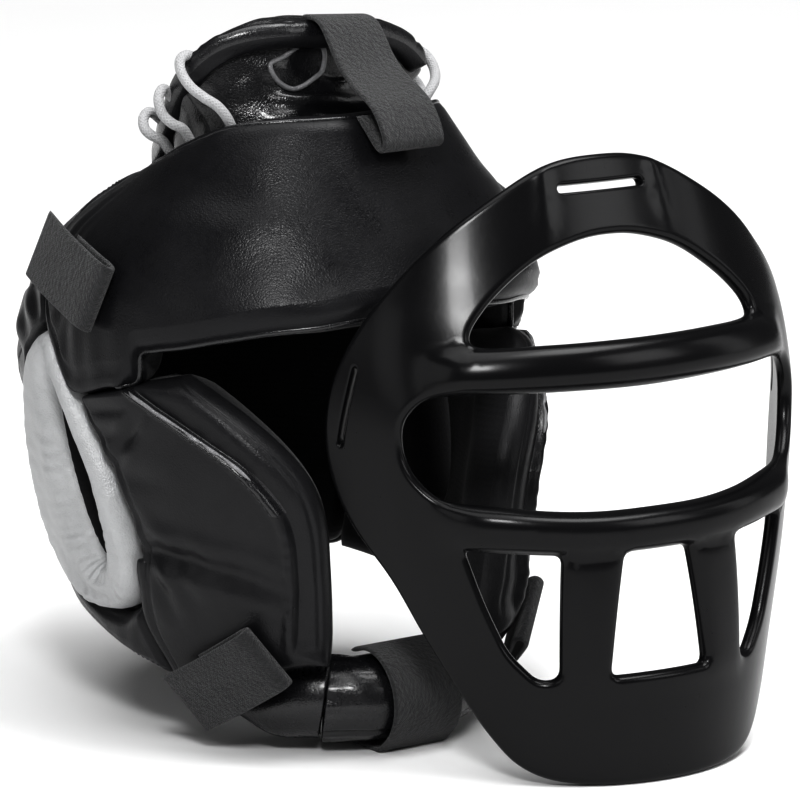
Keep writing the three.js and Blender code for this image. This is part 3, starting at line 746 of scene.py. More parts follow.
def tube(name, path, normals, radius, finish, flat=1.0, sides=10, closed=False):
    """A round or flattened section carried along a path, standing on the path's normals."""
    ahead = np.roll(path, -1, axis=0) if closed else np.gradient(path, axis=0) + path
    behind = np.roll(path, 1, axis=0) if closed else path
    tangent = unit(ahead - behind)
    up = unit(normals - np.sum(normals * tangent, axis=-1, keepdims=True) * tangent)
    side = np.cross(tangent, up)
    angle = np.linspace(0, 2 * np.pi, sides, endpoint=False)
    size = np.broadcast_to(np.asarray(radius, float), len(path))[:, None, None]
    ring = np.cos(angle)[:, None] * up[:, None] * flat + np.sin(angle)[:, None] * side[:, None]
    points = path[:, None] + size * ring
    index = np.arange(points.size // 3).reshape(points.shape[:2])
    run = length_along(path)[:, None] + 0 * angle
    uv = np.stack([run * MM, np.broadcast_to(angle / (2 * np.pi), run.shape)], axis=-1)
    return put_mesh(name, points.reshape(-1, 3), grid_faces(index, closed, True), [finish],
                    uv=uv.reshape(-1, 2))


def rounded_ends(count, tip):
    """Radius factors along a cord that close it to a point over a few steps at both ends."""
    step = np.minimum(np.arange(count), np.arange(count)[::-1]) / tip
    return np.sqrt(np.clip(1 - (1 - np.clip(step, 0, 1)) ** 2, 1e-6, 1))


# Stitches: distance from one to the next, half length of a stitch as a share of it, the thread's radius,
# and how deep a stitch's ends sink, as a share of that.
STITCH_PITCH = 3.2
STITCH_HALF = 0.36
STITCH_THREAD = 0.32
STITCH_SUNK = 0.25


def stitches(name, seams, finish):
    """Rows of thread: at each pitch along a seam a short bead that dips into the cover at its ends."""
    along = np.linspace(-1, 1, 5)
    angle = np.linspace(0, 2 * np.pi, 5, endpoint=False)
    bow = (1 - along ** 2) * STITCH_THREAD - STITCH_SUNK * STITCH_THREAD
    size = STITCH_THREAD * np.sqrt(1.02 - along ** 2)
    blocks = []
    for path, normals in seams:
        count = max(int(length_along(path)[-1] / STITCH_PITCH), 2)
        line = resampled(np.concatenate([path, normals], axis=1), 2 * count + 1)
        place, up = line[1::2, :3], unit(line[1::2, 3:])
        ahead = unit(line[2::2, :3] - line[:-1:2, :3])
        side = np.cross(ahead, up)
        reach = (along * STITCH_PITCH * STITCH_HALF)[:, None]
        core = place[:, None] + ahead[:, None] * reach + up[:, None] * bow[:, None]
        ring = np.cos(angle)[:, None] * up[:, None, None] + np.sin(angle)[:, None] * side[:, None, None]
        blocks.append(core[:, :, None] + ring * size[:, None, None])
    beads = np.concatenate(blocks)
    corners = beads[0].size // 3
    one = grid_faces(np.arange(corners).reshape(beads.shape[1:3]), False, True)
    faces = (one[None] + (np.arange(len(beads)) * corners)[:, None, None]).reshape(-1, 4)
    return put_mesh(name, beads.reshape(-1, 3), faces, [finish])


def tape(name, line, width, place, finish):
    """A flat woven tape: a thick line seen from its edge, drawn across its width with soft edges.

    place maps distance along the profile, height of the profile and distance across to points.
    """
    steps = TAPE_STEPS
    curve = read_share(line, np.linspace(0, 1, steps)).T
    curve = resampled(curve, steps)
    tangent = unit(np.gradient(curve, axis=0))
    side = np.stack([-tangent[:, 1], tangent[:, 0]], axis=-1)
    ends = rounded_ends(steps, TAPE_END)[:, None]
    half = TAPE_THICK / 2
    across = width * (spread(*TAPE_ACROSS) - 0.5)
    slim = np.clip(fullness(width / 2 - np.abs(across), TAPE_EDGE), TAPE_LEAST, 1)
    ring = np.concatenate([np.arange(steps), np.arange(steps)[::-1]])
    sign = np.repeat([1.0, -1.0], steps)[:, None]
    offset = sign[:, None] * (side * ends)[ring][:, None] * half * slim[:, None]
    profile = curve[ring][:, None] + offset
    points = place(profile[..., 0], profile[..., 1], np.broadcast_to(across, profile.shape[:2]))
    index = np.arange(points.size // 3).reshape(points.shape[:2])
    run = length_along(curve)[ring]
    uv = np.stack(np.broadcast_arrays(run[:, None], across[None] + width / 2), axis=-1) * MM
    sides = grid_faces(index, True)
    upper, under = index[:steps], index[:steps - 1:-1]
    closing = np.stack([upper[:-1], upper[1:], under[1:], under[:-1]], axis=-1)
    faces = np.concatenate([sides, closing[:, 0, ::-1], closing[:, -1]])
    return put_mesh(name, points.reshape(-1, 3), faces, [finish], uv=uv.reshape(-1, 2))


# Shader values and finishes

class Shade:
    """A shader value in a material's tree. Arithmetic on it adds Math nodes."""

    # Numbers of a Mix node's sockets for colours: its factor, its two colours and its result.
    MIX_FACTOR, MIX_LOW, MIX_HIGH, MIX_COLOUR = 0, 6, 7, 2

    def __init__(self, tree, socket=None):
        """Keeps the tree, and the output socket that carries the value."""
        self.tree = tree
        self.socket = socket

    def node(self, kind, settings, sockets, output=0):
        """Adds a node: its settings first, then the values or links of its sockets."""
        made = self.tree.nodes.new(kind)
        for key, value in settings.items():
            setattr(made, key, value)
        for key, value in sockets.items():
            if isinstance(value, Shade):
                self.tree.links.new(value.socket, made.inputs[key])
            else:
                made.inputs[key].default_value = value
        return Shade(self.tree, made.outputs[output])

    def math(self, operation, first, second=0.0):
        """One Math node of two values."""
        return self.node("ShaderNodeMath", {"operation": operation}, {0: first, 1: second})

    def __add__(self, other):
        """The sum of two values."""
        return self.math("ADD", self, other)

    __radd__ = __add__

    def __sub__(self, other):
        """This value less another."""
        return self.math("SUBTRACT", self, other)

    def __rsub__(self, other):
        """Another value less this one."""
        return self.math("SUBTRACT", other, self)

    def __mul__(self, other):
        """The product of two values."""
        return self.math("MULTIPLY", self, other)

    __rmul__ = __mul__

    def at_least(self, other):
        """The larger of two values."""
        return self.math("MAXIMUM", self, other)

    def at_most(self, other):
        """The smaller of two values."""
        return self.math("MINIMUM", self, other)

    def sine(self):
        """The sine of a value in radians."""
        return self.math("SINE", self)

    def noise(self, scale, detail=3.0, rough=0.55):
        """Smooth noise over the piece's own coordinates."""
        return self.node("ShaderNodeTexNoise", {}, {
            "Vector": self, "Scale": scale, "Detail": detail, "Roughness": rough})

    def cells(self, scale, feature="DISTANCE_TO_EDGE"):
        """Distances in a pattern of cells over the piece's own coordinates."""
        return self.node("ShaderNodeTexVoronoi", {"feature": feature}, {"Vector": self, "Scale": scale})

    def mark(self, name):
        """A number kept on the piece's points."""
        return self.node("ShaderNodeAttribute", {"attribute_name": name}, {}, "Fac")

    def part(self, name):
        """One number of a vector."""
        return self.node("ShaderNodeSeparateXYZ", {}, {0: self}, name)

    def between(self, low, high):
        """A colour between two, by this value."""
        sockets = {self.MIX_FACTOR: self, self.MIX_LOW: (*low, 1), self.MIX_HIGH: (*high, 1)}
        return self.node("ShaderNodeMix", {"data_type": "RGBA"}, sockets, self.MIX_COLOUR)

    def bumps(self, strength, distance):
        """Normals that follow this value as a height."""
        return self.node("ShaderNodeBump", {}, {
            "Strength": strength, "Distance": distance, "Height": self})


def finish_of(name, build, **fixed):
    """A material: fixed values go on the shader's own sockets, and build links what varies."""
    material = bpy.data.materials.new(name)
    material.use_nodes = True
    tree = material.node_tree
    shader = tree.nodes["Principled BSDF"]
    for socket, value in fixed.items():
        shader.inputs[socket.replace("_", " ").title().replace("Ior", "IOR")].default_value = value
    for socket, value in build(Shade(tree)).items():
        tree.links.new(value.socket, shader.inputs[socket])
    return material


def place_of(shade):
    """Where a point is on the piece, in metres."""
    return shade.node("ShaderNodeTexCoord", {}, {}, "Object")


def run_of(shade):
    """How far along and across the piece a point is."""
    return shade.node("ShaderNodeTexCoord", {}, {}, "UV")


def leather(deep, pale, gloss, uneven, grain):
    """Grained hide: pebbled cells under fine creases, clouded shine, and paler worn edges."""
    def build(shade):
        """Links colour, roughness and bumps to the noises of the hide."""
        place = place_of(shade)
        cloud = place.noise(55, 4)
        pores = place.noise(2400, 2)
        pebble = place.cells(850)
        fine = place.noise(420, 5, 0.65)
        worn = shade.mark("edge") * place.noise(160, 4)
        tone = (cloud * 0.6 + fine * 0.25 + worn * 0.5).at_most(1.0)
        rough = gloss + (cloud - 0.5) * uneven + (fine - 0.5) * 0.22 + worn * 0.08
        height = pebble.at_most(0.35) * 1.1 + fine * 0.9 + pores * 0.2
        return {"Base Color": tone.between(deep, pale), "Roughness": rough,
                "Normal": height.bumps(grain, 0.0006)}
    return build


# Patterns, in radians a metre: rows of the lining, weave of the tape, strands along the lace and, in radians
# a turn, round it, and plies of the thread.
LINING_ROWS = 2600.0
TAPE_WEAVE = 5200.0
LACE_ALONG = 4200.0
LACE_ROUND = 50.27
THREAD_PLIES = 9000.0


def lining_cloth(shade):
    """Brushed lining: short nap with faint rows."""
    place = place_of(shade)
    nap = place.noise(900, 4, 0.7)
    rows = (place.part("Z") * LINING_ROWS).sine()
    return {"Base Color": nap.between((0.006, 0.006, 0.007), (0.02, 0.02, 0.022)),
            "Roughness": 0.78 + nap * 0.15,
            "Normal": (nap + rows * 0.12).bumps(0.5, 0.0006)}


def hook_tape(shade):
    """Loop tape: a fuzzy pile over a woven ground, flattened here and there."""
    place = place_of(shade)
    run = run_of(shade)
    pile = place.noise(1500, 5, 0.75)
    tufts = place.cells(620, "F1")
    worn = place.noise(90, 3)
    ground = (run.part("X") * TAPE_WEAVE).sine() * (run.part("Y") * TAPE_WEAVE).sine()
    tone = (pile * 0.7 + worn * 0.45 - tufts * 0.35).at_least(0.0)
    return {"Base Color": tone.between((0.01, 0.01, 0.011), (0.06, 0.061, 0.064)),
            "Roughness": 0.82 + pile * 0.14,
            "Normal": (pile * 1.2 + ground * 0.1 - tufts * 0.6).bumps(0.85, 0.0012)}


def lace_braid(shade):
    """Braided cord: two sets of strands that cross round it."""
    run = run_of(shade)
    along = run.part("X") * LACE_ALONG
    around = run.part("Y") * LACE_ROUND
    strands = (along + around).sine().at_least((along - around).sine())
    dust = place_of(shade).noise(500, 4)
    tone = strands * 0.15 + dust * 0.7
    return {"Base Color": tone.between((0.3, 0.3, 0.305), (0.6, 0.602, 0.61)),
            "Roughness": 0.7 + dust * 0.2,
            "Normal": strands.bumps(0.4, 0.0005)}


def moulded_plastic(shade):
    """Polished moulding: almost even, with faint flow marks and fine scuffs in its gloss."""
    place = place_of(shade)
    flow = place.noise(14, 3)
    scuff = place.noise(330, 6, 0.7)
    orange = place.noise(260, 2)
    return {"Base Color": flow.between((0.003, 0.003, 0.0035), (0.008, 0.008, 0.009)),
            "Roughness": 0.2 + flow * 0.1 + (scuff - 0.55).at_least(0.0) * 0.15,
            "Normal": (orange + scuff * 0.08).bumps(0.03, 0.0008)}


def thread(shade):
    """Twisted thread: slanted plies."""
    place = place_of(shade)
    ply = ((place.part("X") + place.part("Y") + place.part("Z")) * THREAD_PLIES).sine()
    return {"Base Color": place.noise(700, 2).between((0.02, 0.02, 0.022), (0.07, 0.07, 0.075)),
            "Normal": ply.bumps(0.4, 0.0002)}


def floor_paper(shade):
    """Pale studio paper with a faint unevenness."""
    cloud = place_of(shade).noise(3, 3)
    return {"Base Color": cloud.between((0.86, 0.86, 0.86), (0.9, 0.9, 0.9))}


BLACK = finish_of(
    "black_leather",
    leather((0.005, 0.005, 0.006), (0.018, 0.018, 0.02), gloss=0.31, uneven=0.24, grain=0.2),
    specular_ior_level=0.26)
GLOSSY = finish_of(
    "gloss_leather",
    leather((0.004, 0.004, 0.005), (0.014, 0.014, 0.016), gloss=0.24, uneven=0.2, grain=0.25),
    specular_ior_level=0.55, coat_weight=0.3, coat_roughness=0.12)
CHEEK = finish_of(
    "cheek_leather",
    leather((0.006, 0.006, 0.007), (0.022, 0.022, 0.024), gloss=0.34, uneven=0.25, grain=0.22),
    specular_ior_level=0.32)
SILVER = finish_of(
    "silver_leather",
    leather((0.31, 0.313, 0.318), (0.53, 0.534, 0.54), gloss=0.4, uneven=0.2, grain=0.35),
    metallic=0.2, specular_ior_level=0.5)
# Painted highlight: a pale leather finish for the cheek's piping and the curtain's leaf-shaped rim, in place
# of their glint.
PAINTED_HIGHLIGHT = finish_of(
    "painted_highlight_rim",
    leather((0.07, 0.07, 0.073), (0.38, 0.38, 0.39), gloss=0.22, uneven=0.2, grain=0.5),
    specular_ior_level=0.6, coat_weight=0.3, coat_roughness=0.12)
LINING = finish_of("lining", lining_cloth, specular_ior_level=0.3, sheen_weight=0.15)
TAPE = finish_of("hook_tape", hook_tape, specular_ior_level=0.25, sheen_weight=0.3, sheen_roughness=0.5)
LACE = finish_of("lace_cord", lace_braid, specular_ior_level=0.35, sheen_weight=0.2)
PLASTIC = finish_of("mask_plastic", moulded_plastic, specular_ior_level=0.24, coat_weight=0.06,
                    coat_roughness=0.1)
THREAD = finish_of("thread", thread, roughness=0.6)
PAPER = finish_of("floor_paper", floor_paper, roughness=0.9)


# Pads of the headgear

# Width of a degree of turn where the folds are laid out flat.
FLAT_DEGREE = 1.7


def rib_place(ends, share):
    """Turn and height at a share of the way from a rib's start to its end."""
    start_turn, start_height, end_turn, end_height = ends
    return blend(start_turn, end_turn, share), blend(start_height, end_height, share)


def on_ribs(ribs):
    """A surface over a set of ribs: u runs across them and v along each, on the head form."""
    def surface(u, v, lift):
        """The head form's point at a share along the rib at u, lifted."""
        return on_head(*rib_place(read_share(ribs, u), v), lift)
    return surface


def flat_place(ribs, u, v):
    """The same places as flat millimetres: turn at an average width for a degree, and height."""
    turn, height = rib_place(read_share(ribs, u), v)
    return np.stack([np.abs(turn) * FLAT_DEGREE, height], axis=-1)


def flat_lines(rows):
    """Crease rows given in degrees of turn, as flat millimetres."""
    lines = np.array(rows, float)
    lines[:, [0, 2]] *= FLAT_DEGREE
    return lines


# Bindings: points along one, steps over which its ends close, and sides of its section.
ROLL_POINTS = 500
ROLL_TIP = 8
ROLL_SIDES = 12


def edge_roll(name, pad, ends, at, lift, radius):
    """A round binding: a cord along a line of a pad's skin, closed to a point at both ends."""
    path, normals = pad.line(np.linspace(*ends, ROLL_POINTS), at, lift)
    size = radius * rounded_ends(ROLL_POINTS, ROLL_TIP)
    piece = tube(name, path, normals, size, GLOSSY, sides=ROLL_SIDES)


def sewn_row(pad, across, along, count, lift):
    """Points and normals of a stitched row: a straight run between two places of a pad's shares."""
    return pad.line(np.linspace(*across, count), np.linspace(*along, count), lift)


# Band: folds as turn and height of their ends, depth and width, grid, thickness, roundness of its edges, of
# its ends and of the part sewn to the cheek, with the turns and shares where that part starts, seams as
# share up the band, depth and width, waves as height, size and seed, and the line and size of its trim.
BAND_FOLDS = flat_lines([
    [90, 150, 93, 177, 1.1, 2.8],
    [94.5, 161, 98, 188, 0.9, 2.8],
    [100, 174, 104, 205, 0.7, 3.0],
    [106, 190, 111, 216, 0.8, 3.0],
    [85, 148, 87, 172, 0.6, 3.2],
    [79, 150, 82, 180, 0.35, 4.0],
    [20, 196, 34, 192, 0.4, 5.0],
])
BAND_GRID = (spread(290, 0.022), spread(66, 0.11))
BAND_THICK = 22.0
BAND_ROUND = 9.0
BAND_END_ROUND = 4.0
BAND_END = (0.9, 1.0)
BAND_SEWN_ROUND = 1.2
BAND_SEWN_TURNS = (72.5, 76)
BAND_SEWN_SHARES = (0.6, 0.4)
BAND_SEAMS = ((0.085, 0.9, 0.011), (0.93, 0.5, 0.01))
BAND_WAVES = ((0.4, 90, 11), (0.15, 34, 12))
# The brow's roll reaches past the eye corner, to this many ribs from the middle.
BROW_ROLL_RIBS = 8.7
BROW_ROLL_AT = 0.01
BROW_ROLL_RADIUS = 1.4
BAND_BINDING_ENDS = (0.012, 0.988)
BAND_BINDING_AT = 0.955
BAND_BINDING_RADIUS = 1.3


def make_band():
    """The band's pad, with a seam above the brow, a rolled brow edge and a bound top edge."""
    ribs = mirrored(BAND_RIBS, 0)

    def rounding(u, v):
        """Round edges, tighter at the two ends and where the band is sewn down."""
        turn = np.abs(read_share(ribs, u)[0])
        end = smooth(*BAND_END, np.abs(2 * u - 1))
        sewn = smooth(*BAND_SEWN_TURNS, turn) * smooth(*BAND_SEWN_SHARES, v)
        return blend(BAND_ROUND, BAND_END_ROUND, end), blend(BAND_ROUND, BAND_SEWN_ROUND, sewn)

    def shape(u, v, base):
        """Seams and folds added up, over gentle waves."""
        folds = creases(BAND_FOLDS, flat_place(ribs, u, v))
        return grooves(v, BAND_SEAMS) + folds, waves(base, BAND_WAVES)

    pad = Pad(on_ribs(ribs), BAND_GRID, BAND_THICK, rounding, shape)
    piece = pad.mesh("band_cover", [BLACK, LINING])
    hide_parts("forehead_band")
    reach = BROW_ROLL_RIBS / (len(ribs) - 1)
    edge_roll("brow_roll", pad, (0.5 - reach, 0.5 + reach), BROW_ROLL_AT, -0.5, BROW_ROLL_RADIUS)
    edge_roll("band_binding", pad, BAND_BINDING_ENDS, BAND_BINDING_AT, -0.4, BAND_BINDING_RADIUS)


# Back: as the band, with its quilting, which fades towards the ears, and its stitched rows: shares across
# and up it where a row starts and ends, the row's points, and its lift.
BACK_FOLDS = flat_lines([
    [106, 167, 118, 176, 1.3, 3.0],
    [112, 158, 126, 166, 1.3, 3.2],
    [117, 146, 132, 152, 1.2, 3.5],
    [121, 126, 134, 130, 1.0, 3.5],
    [118, 186, 130, 190, 1.0, 3.2],
    [124, 203, 138, 204, 0.9, 3.4],
    [126, 62, 140, 70, 0.9, 4.0],
    [128, 88, 140, 92, 0.8, 4.0],
    [150, 46, 156, 80, 0.8, 4.0],
])
BACK_GRID = (spread(210, 0.02), spread(116, 0.05))
BACK_THICK = 18.0
BACK_END_ROUND = 3.0
BACK_TOP_ROUND = 4.0
BACK_FOOT_ROUND = 7.0
BACK_SEWN_ROUND = 3.0
BACK_SEWN = (0.72, 0.78)
BACK_MIDDLE_SEAM = ((0.5, 1.6, 0.006),)
BACK_HEMS = ((0.045, 0.9, 0.007), (0.955, 0.9, 0.007))
BACK_QUILT = ((0.36, 1.8, 0.012), (0.66, 1.8, 0.012))
BACK_QUILT_ENDS = (0.1, 0.2)
BACK_WAVES = ((0.8, 70, 21), (0.3, 26, 22))
NAPE_BINDING_ENDS = (0.02, 0.98)
NAPE_BINDING_AT = 0.008
NAPE_BINDING_RADIUS = 2.0
BACK_ROWS = (
    ((0.02, 0.98), (0.033, 0.033), 500, -0.1),
    ((0.02, 0.98), (0.967, 0.967), 500, -0.15),
    ((0.487, 0.487), (0.05, 0.95), 300, 0.1),
    ((0.513, 0.513), (0.05, 0.95), 300, 0.1),
    ((0.16, 0.84), (0.352, 0.352), 400, 0.1),
    ((0.16, 0.84), (0.652, 0.652), 400, 0.1),
)


def make_back():
    """The back's pad: a middle seam, two quilted lines, hems and folds, bound at the nape and stitched."""
    ribs = mirrored(BACK_RIBS[::-1], 180)
    fold_ribs = ribs.copy()
    fold_ribs[:, [0, 2]] = 180 - np.abs(180 - ribs[:, [0, 2]])

    def rounding(u, v):
        """Round edges, tighter at the foot where it is sewn to the ear ring."""
        sewn = smooth(*BACK_SEWN, np.abs(2 * u - 1))
        foot = blend(BACK_FOOT_ROUND, BACK_SEWN_ROUND, sewn)
        return BACK_END_ROUND, np.where(v > 0.5, BACK_TOP_ROUND, foot)

    def shape(u, v, base):
        """Seams, quilting and folds added up, over gentle waves."""
        seams = grooves(u, BACK_MIDDLE_SEAM) + grooves(v, BACK_HEMS)
        quilt = grooves(v, BACK_QUILT) * smooth(*BACK_QUILT_ENDS, u) * smooth(*BACK_QUILT_ENDS, 1 - u)
        folds = creases(BACK_FOLDS, flat_place(fold_ribs, u, v))
        return seams + quilt + folds, waves(base, BACK_WAVES)

    pad = Pad(on_ribs(ribs), BACK_GRID, BACK_THICK, rounding, shape)
    piece = pad.mesh("back_cover", [BLACK, LINING])
    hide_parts("back_panel")
    edge_roll("nape_binding", pad, NAPE_BINDING_ENDS, NAPE_BINDING_AT, -0.3, NAPE_BINDING_RADIUS)
    seams = [sewn_row(pad, *row) for row in BACK_ROWS]
    stitches("back_stitches", seams, THREAD)


CHEEK_FOLDS = flat_lines([
    [76.5, 83, 62, 81.2, 3.2, 4.4],
    [63.5, 81.3, 48, 76.5, 2.4, 4.6],
    [50, 77, 36, 70, 1.3, 4.6],
    [74, 80, 69.5, 58, 1.3, 3.4],
    [68, 79, 62, 60, 0.7, 4.0],
    [69, 142, 78.6, 115.5, 1.5, 2.4],
    [79, 113.5, 67, 112.7, 0.6, 4.0],
    [78, 99, 70.5, 87, 1.1, 3.6],
    [83, 127, 71, 131, 0.7, 3.4],
    [85, 136, 74, 141, 0.8, 2.6],
])
# Sewn seam behind the cheek's front: share across the ribs, and share along a rib.
CHEEK_SEAM = np.array([
    [0.25, 0.19],
    [0.45, 0.17],
    [0.58, 0.175],
    [0.66, 0.208],
    [0.75, 0.25],
    [0.82, 0.315],
    [0.9, 0.375],
    [1.0, 0.42],
])
# The seam's step, swell and groove, the shares past it where they lie, and the heights where it starts.
SEAM_STEP = 2.6
SEAM_STEP_PAST = (0.004, -0.014)
SEAM_SWELL = 1.7
SEAM_UNEVEN = 0.15
SEAM_SWELL_PAST = 0.03
SEAM_SWELL_WIDTH = 0.026
SEAM_GROOVE = ((0, 0.9, 0.008),)
SEAM_START = (42, 54)
# Grid line of the cheek's cover on which its seam runs, as a share of the grid, and how much closer the
# grid's lines are at the seam and at the edges, and over which width.
SEAM_LINE = 0.32
CLOSE_AT_SEAM = 4
CLOSE_AT_EDGE = 3
CLOSE_WIDTH = 0.05
# The cheek's foot carries the chin tube's round section on: turn, and height of the tube's top there.
FOOT_TOP = np.array([
    [28, 31.4],
    [38, 31],
    [46, 27],
    [56, 17],
    [66, 4],
])
FOOT_HALF = 16.7
FOOT_DEEP = 15.8
FOOT_VALLEY = 6.0
FOOT_RADIUS = 0.98 * CHIN_RADIUS
FOOT_TURNS = (64, 42)
# Cheek's pad: as the band. The front is tight where it meets the chin tube, and the top where it meets the
# band.
CHEEK_ACROSS = spread(176, 0.07)
CHEEK_LINE_COUNT = 122
CHEEK_THICK = 28.0
CHEEK_ROUND = 13.0
CHEEK_SEWN_ROUND = 1.4
CHEEK_FOOT_ROUND = 8.0
CHEEK_REAR_ROUND = 5.0
CHEEK_CHIN_HEIGHTS = (47, 38)
CHEEK_TOP_ACROSS = (0.5, 0.9)
CHEEK_TOP_ALONG = (0.12, 0.4)
CHEEK_FRONT_HEM = ((0.07, 0.9, 0.012),)
CHEEK_REAR_HEM = ((0.93, 0.9, 0.012),)
CHEEK_WAVES = ((0.7, 60, 31), (0.12, 24, 32))
# Glossy parts of the cheek: up to a margin over the tube's top, and beside the seam from a height on.
TUBE_GLOSS_MARGIN = 1.5
SEAM_GLOSS_PAST = 0.012
SEAM_GLOSS_HALF = 0.034
SEAM_GLOSS_HEIGHT = 104.0
# Piping in the seam, pale as a painted highlight along it: shares across the ribs, points, share past the
# seam, lift and radius with the part of each that comes and goes, and the steps over which its ends close.
PIPING_ENDS = (0.71, 0.985)
PIPING_POINTS = 400
PIPING_PAST = 0.004
PIPING_LIFT = (0.4, 0.35)
PIPING_RADIUS = (0.74, 0.2)
PIPING_TIP = 60
# Stitches behind the seam, and the flat binding at the rear: shares of their ends and of their lines.
CHEEK_ROW_ENDS = (0.6, 0.985)
CHEEK_ROW_PAST = 0.05
CHEEK_BINDING_ENDS = (0.03, 0.4)
CHEEK_BINDING_AT = 0.965
CHEEK_BINDING_RADIUS = 2.6
CHEEK_BINDING_FLAT = 0.45
CHEEK_BINDING_POINTS = 200
CHEEK_BINDING_TIP = 6


def cheek_seam(share):
    """Share along a rib where the seam crosses it."""
    return read(CHEEK_SEAM, np.clip(share, CHEEK_SEAM[0, 0], CHEEK_SEAM[-1, 0]))[0]


def cheek_along(share, line):
    """Share along a rib of a grid line: even from the front to the seam, and even again from there on."""
    seam = cheek_seam(share)
    behind = seam + (line - SEAM_LINE) / (1 - SEAM_LINE) * (1 - seam)
    return np.where(line < SEAM_LINE, line / SEAM_LINE * seam, behind)


def cheek_line(share, along):
    """The grid line at a share along a rib, which undoes cheek_along."""
    seam = cheek_seam(share)
    behind = SEAM_LINE + (along - seam) / (1 - seam) * (1 - SEAM_LINE)
    return np.where(along < seam, along / seam * SEAM_LINE, behind)


def cheek_lines(count):
    """Grid lines from front to rear, closest at the two edges and at the seam."""
    even = np.linspace(0, 1, 2000)
    close = 1 + CLOSE_AT_SEAM * bell(even, SEAM_LINE, CLOSE_WIDTH)
    close += CLOSE_AT_EDGE * np.exp(-even / CLOSE_WIDTH)
    close += CLOSE_AT_EDGE * np.exp((even - 1) / CLOSE_WIDTH)
    total = np.cumsum(close) - close[0]
    return np.interp(np.linspace(0, 1, count), total / total[-1], even)


def foot_top(turn):
    """Height of the tube's top on the cheek's foot."""
    return read(FOOT_TOP, np.clip(turn, FOOT_TOP[0, 0], FOOT_TOP[-1, 0]))[0]


def cheek_foot(turn, height):
    """Dent that rounds the cheek's foot into a tube: a half round below the tube's top, a valley above it."""
    above = height - foot_top(turn)
    off = np.clip(above / FOOT_HALF + 1, -1, 1)
    rounded = FOOT_DEEP - FOOT_RADIUS * np.sqrt(1 - off * off)
    valley = FOOT_DEEP * bell(above, 0, FOOT_VALLEY)
    return -smooth(*FOOT_TURNS, turn) * np.where(above > 0, valley, rounded)


def make_cheek(side, mirror):
    """The cheek's pad: a stepped seam in front, a crease across, gathers at the ear, a tube at its foot."""
    on_pad = on_ribs(CHEEK_RIBS)

    def surface(u, line, lift):
        """The ribs' surface, with the seam on one line of the grid."""
        return on_pad(u, cheek_along(u, line), lift)

    def rounding(u, line):
        """Full round edges, tight at the chin tube and under the band."""
        v = cheek_along(u, line)
        height = flat_place(CHEEK_RIBS, u, v)[..., 1]
        front = blend(CHEEK_ROUND, CHEEK_SEWN_ROUND, smooth(*CHEEK_CHIN_HEIGHTS, height))
        sewn = smooth(*CHEEK_TOP_ACROSS, u) * smooth(*CHEEK_TOP_ALONG, v)
        top = blend(CHEEK_ROUND, CHEEK_SEWN_ROUND, sewn)
        return np.where(u > 0.5, top, CHEEK_FOOT_ROUND), np.where(v < 0.5, front, CHEEK_REAR_ROUND)

    def shape(u, line, base):
        """A step down in front of the seam, a swell behind it, hems, the foot's tube and folds."""
        v = cheek_along(u, line)
        flat = flat_place(CHEEK_RIBS, u, v)
        height = flat[..., 1]
        upper = smooth(*SEAM_START, height)
        past = v - cheek_seam(u)
        uneven = SEAM_UNEVEN * np.sin(height * 0.9 + 2 * np.sin(height * 0.21))
        swell = (SEAM_SWELL + uneven) * bell(past, SEAM_SWELL_PAST, SEAM_SWELL_WIDTH)
        seam = swell + grooves(past, SEAM_GROOVE) - SEAM_STEP * smooth(*SEAM_STEP_PAST, past)
        hems = grooves(v, CHEEK_FRONT_HEM) * upper + grooves(v, CHEEK_REAR_HEM)
        foot = cheek_foot(flat[..., 0] / FLAT_DEGREE, height)
        return seam * upper + hems + foot + creases(CHEEK_FOLDS, flat), waves(base, CHEEK_WAVES)

    grid = (CHEEK_ACROSS, cheek_lines(CHEEK_LINE_COUNT))
    pad = Pad(surface, grid, CHEEK_THICK, rounding, shape, mirror=mirror)
    along = cheek_along(pad.u, pad.v)
    flat = flat_place(CHEEK_RIBS, pad.u, along)
    on_tube = flat[..., 1] < foot_top(flat[..., 0] / FLAT_DEGREE) + TUBE_GLOSS_MARGIN
    beside = np.abs(along - cheek_seam(pad.u) - SEAM_GLOSS_PAST) < SEAM_GLOSS_HALF
    on_ridge = beside & (flat[..., 1] > SEAM_GLOSS_HEIGHT)
    piece = pad.mesh(f"cheek_cover_{side}", [CHEEK, LINING, GLOSSY], on_tube | on_ridge)
    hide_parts(f"cheek_pad_{side}")

    share = np.linspace(*PIPING_ENDS, PIPING_POINTS)
    lumps = np.sin(90 * share + 3 * np.sin(31 * share))
    lift = PIPING_LIFT[0] + PIPING_LIFT[1] * lumps
    path, up = pad.line(share, cheek_line(share, cheek_seam(share) + PIPING_PAST), lift)
    radius = (PIPING_RADIUS[0] + PIPING_RADIUS[1] * lumps) * rounded_ends(PIPING_POINTS, PIPING_TIP)
    # The piping's pale finish is a painted highlight along the seam.
    pipe = tube(f"cheek_piping_{side}", path, up, radius, PAINTED_HIGHLIGHT, sides=8)

    share = np.linspace(*CHEEK_ROW_ENDS, PIPING_POINTS)
    row = pad.line(share, cheek_line(share, cheek_seam(share) + CHEEK_ROW_PAST), -0.12)
    sewn = stitches(f"cheek_stitches_{side}", [row], THREAD)

    share = np.linspace(*CHEEK_BINDING_ENDS, CHEEK_BINDING_POINTS)
    path, up = pad.line(share, cheek_line(share, CHEEK_BINDING_AT), 0.2)
    radius = CHEEK_BINDING_RADIUS * rounded_ends(CHEEK_BINDING_POINTS, CHEEK_BINDING_TIP)
    strip = tube(f"cheek_binding_{side}", path, up, radius, CHEEK, CHEEK_BINDING_FLAT)


# Jaw strip: as the band.
JAW_GRID = (spread(120, 0.08), spread(40, 0.25))
JAW_THICK = 17.0
JAW_ROUND = 6.0
JAW_HEM = ((0.16, 0.7, 0.03),)
JAW_WAVES = ((0.6, 30, 41), (0.3, 13, 42))
JAW_ROW = ((0.06, 0.95), (0.16, 0.16), 200, -0.15)


